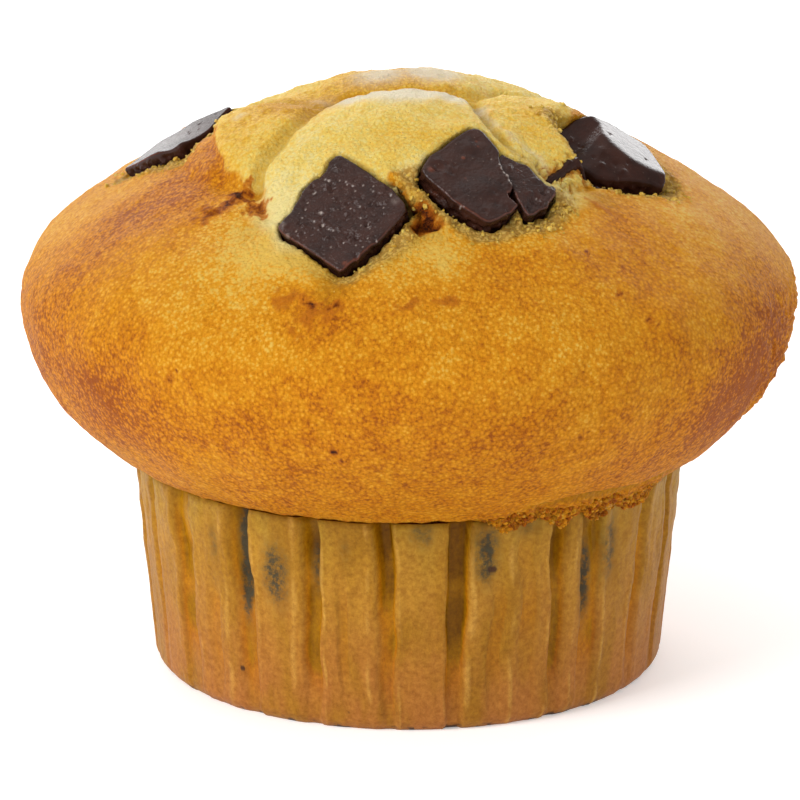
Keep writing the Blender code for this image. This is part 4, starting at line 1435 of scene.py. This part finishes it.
# %% Stains and dirt on the paper
STAINS = (  # degrees, height mm, half width in degrees, half height mm, strength
    (-36.6, 16.4, 1.6, 5.8, 1.9), (-28.4, 15.2, 3.2, 3.4, 1.05), (-44.2, 17.0, 1.6, 2.8, 0.5),
    (-19.4, 17.0, 1.6, 3.6, 0.75), (-13.0, 18.5, 2.0, 2.0, 0.35), (2.7, 20.4, 2.6, 1.6, 0.8),
    (16.0, 18.0, 2.6, 3.2, 1.1), (25.0, 20.0, 3.0, 1.0, 0.6), (40.6, 13.6, 2.2, 4.2, 1.15),
    (46.5, 16.2, 2.4, 4.0, 0.75), (128.0, 16.0, 2.4, 3.5, 0.7), (205.0, 15.0, 2.2, 3.0, 0.8),
    (262.0, 17.0, 2.0, 2.5, 0.6),
)
SPOTS = (  # degrees, height mm, radius mm
    (17.3, 16.4, 0.4), (17.9, 16.2, 0.28), (56.6, 9.3, 0.35), (56.2, 8.6, 0.3), (-68.0, 16.2, 0.22),
    (-38.8, 4.5, 0.24), (-4.6, 13.9, 0.2), (-13.0, 2.0, 0.2), (150.0, 9.0, 0.3), (232.0, 12.0, 0.35),
)
turns = sheet_values[:, 0]
heights = sheet_values[:, 2] * CASE_HEIGHT
stains = np.zeros(len(turns))
for centre, height, half_width, half_height, strength in STAINS:
    away = (turned_by(turns, centre) / half_width) ** 2 + ((heights - height) / half_height) ** 2
    stains = np.maximum(stains, strength * np.exp(-away))
dirt = np.zeros(len(turns))
for centre, height, radius in SPOTS:
    beside = np.radians(turned_by(turns, centre)) * BASE_RADIUS
    dirt = np.maximum(dirt, ramp(np.hypot(beside, heights - height), 1.6 * radius, 0.5 * radius))
specks = ramp(bumps(on_wall(turns, heights), 0.9, 30), 0.12, 0.3)
specks = specks * ramp(heights, 0.7, 0.1) * (heights < 0.7)
dirt = np.maximum(dirt, specks * (sheet_values[:, 1] > 0.9))
paint(paper, "stain", stains)
paint(paper, "dirt", dirt)

# %% Fold, thicken and place the case
use_rule(paper, rule, {"Paper": paper_finish})
freeze(paper)
thick = paper.modifiers.new("thickness", "SOLIDIFY")
thick.thickness = PAPER_THICKNESS * MM
thick.offset = -1.0
freeze(paper)
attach(paper, "root")
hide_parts("paper_case")
print("paper case:", len(paper.data.polygons), "faces")

# %% [markdown]
# ## Table, light and camera
# The muffin stands on a plain white table in a white room with large soft lights, so shadows
# are faint and grazing edges pick up white. The left light is the stronger one, and a wide
# light behind puts the white shine on the chocolate tops that slope away. The table glows a
# little, as a light table does, which keeps the cap's underside warm. The camera has a long
# lens and looks down a little.

# %% White table and room
bpy.ops.mesh.primitive_plane_add(size=4.0)
table = bpy.context.object
table.name = "white_table"
table_finish, tree, shader = new_finish("white_table_finish", Roughness=0.9, Emission_Strength=0.3)
shader.inputs["Base Color"].default_value = (0.9, 0.9, 0.9, 1.0)
shader.inputs["Emission Color"].default_value = (1.0, 1.0, 1.0, 1.0)
table.data.materials.append(table_finish)

room = bpy.data.worlds.new("white_room")
room.use_nodes = True
room.node_tree.nodes["Background"].inputs["Color"].default_value = (1.0, 1.0, 1.0, 1.0)
room.node_tree.nodes["Background"].inputs["Strength"].default_value = 0.57
bpy.context.scene.world = room
bpy.context.scene.view_settings.view_transform = "Standard"


# %% Soft lights
def soft_light(name, place, target, size, watts):
    """A wide lamp in metres and watts, turned to its target."""
    light = bpy.data.lights.new(name, "AREA")
    light.shape = "RECTANGLE"
    light.size, light.size_y = size
    light.energy = watts
    holder = bpy.data.objects.new(name, light)
    holder.location = place
    aim = Vector(target) - Vector(place)
    holder.rotation_euler = aim.to_track_quat("-Z", "Y").to_euler()
    bpy.context.scene.collection.objects.link(holder)


MUFFIN = (0.0, 0.0, 0.03)
soft_light("left_softbox", (-0.7, -0.5, 0.6), MUFFIN, (0.5, 0.5), 8.4)
soft_light("right_softbox", (0.8, -0.3, 0.5), MUFFIN, (0.5, 0.5), 1.1)
soft_light("top_softbox", (0.0, 0.2, 0.9), MUFFIN, (0.6, 0.6), 0.8)
soft_light("back_softbox", (0.0, 1.2, 0.46), MUFFIN, (2.0, 0.55), 13.0)

# %% Camera
camera = bpy.data.cameras.new("camera")
camera.sensor_width = 36.0
camera.lens = 225.2
eye = bpy.data.objects.new("camera", camera)
eye.location = (0.0, -0.4734, 0.1608)
aim = Vector((-0.0008, 0.0, 0.0257)) - Vector(eye.location)
eye.rotation_euler = aim.to_track_quat("-Z", "Y").to_euler()
bpy.context.scene.collection.objects.link(eye)
bpy.context.scene.camera = eye
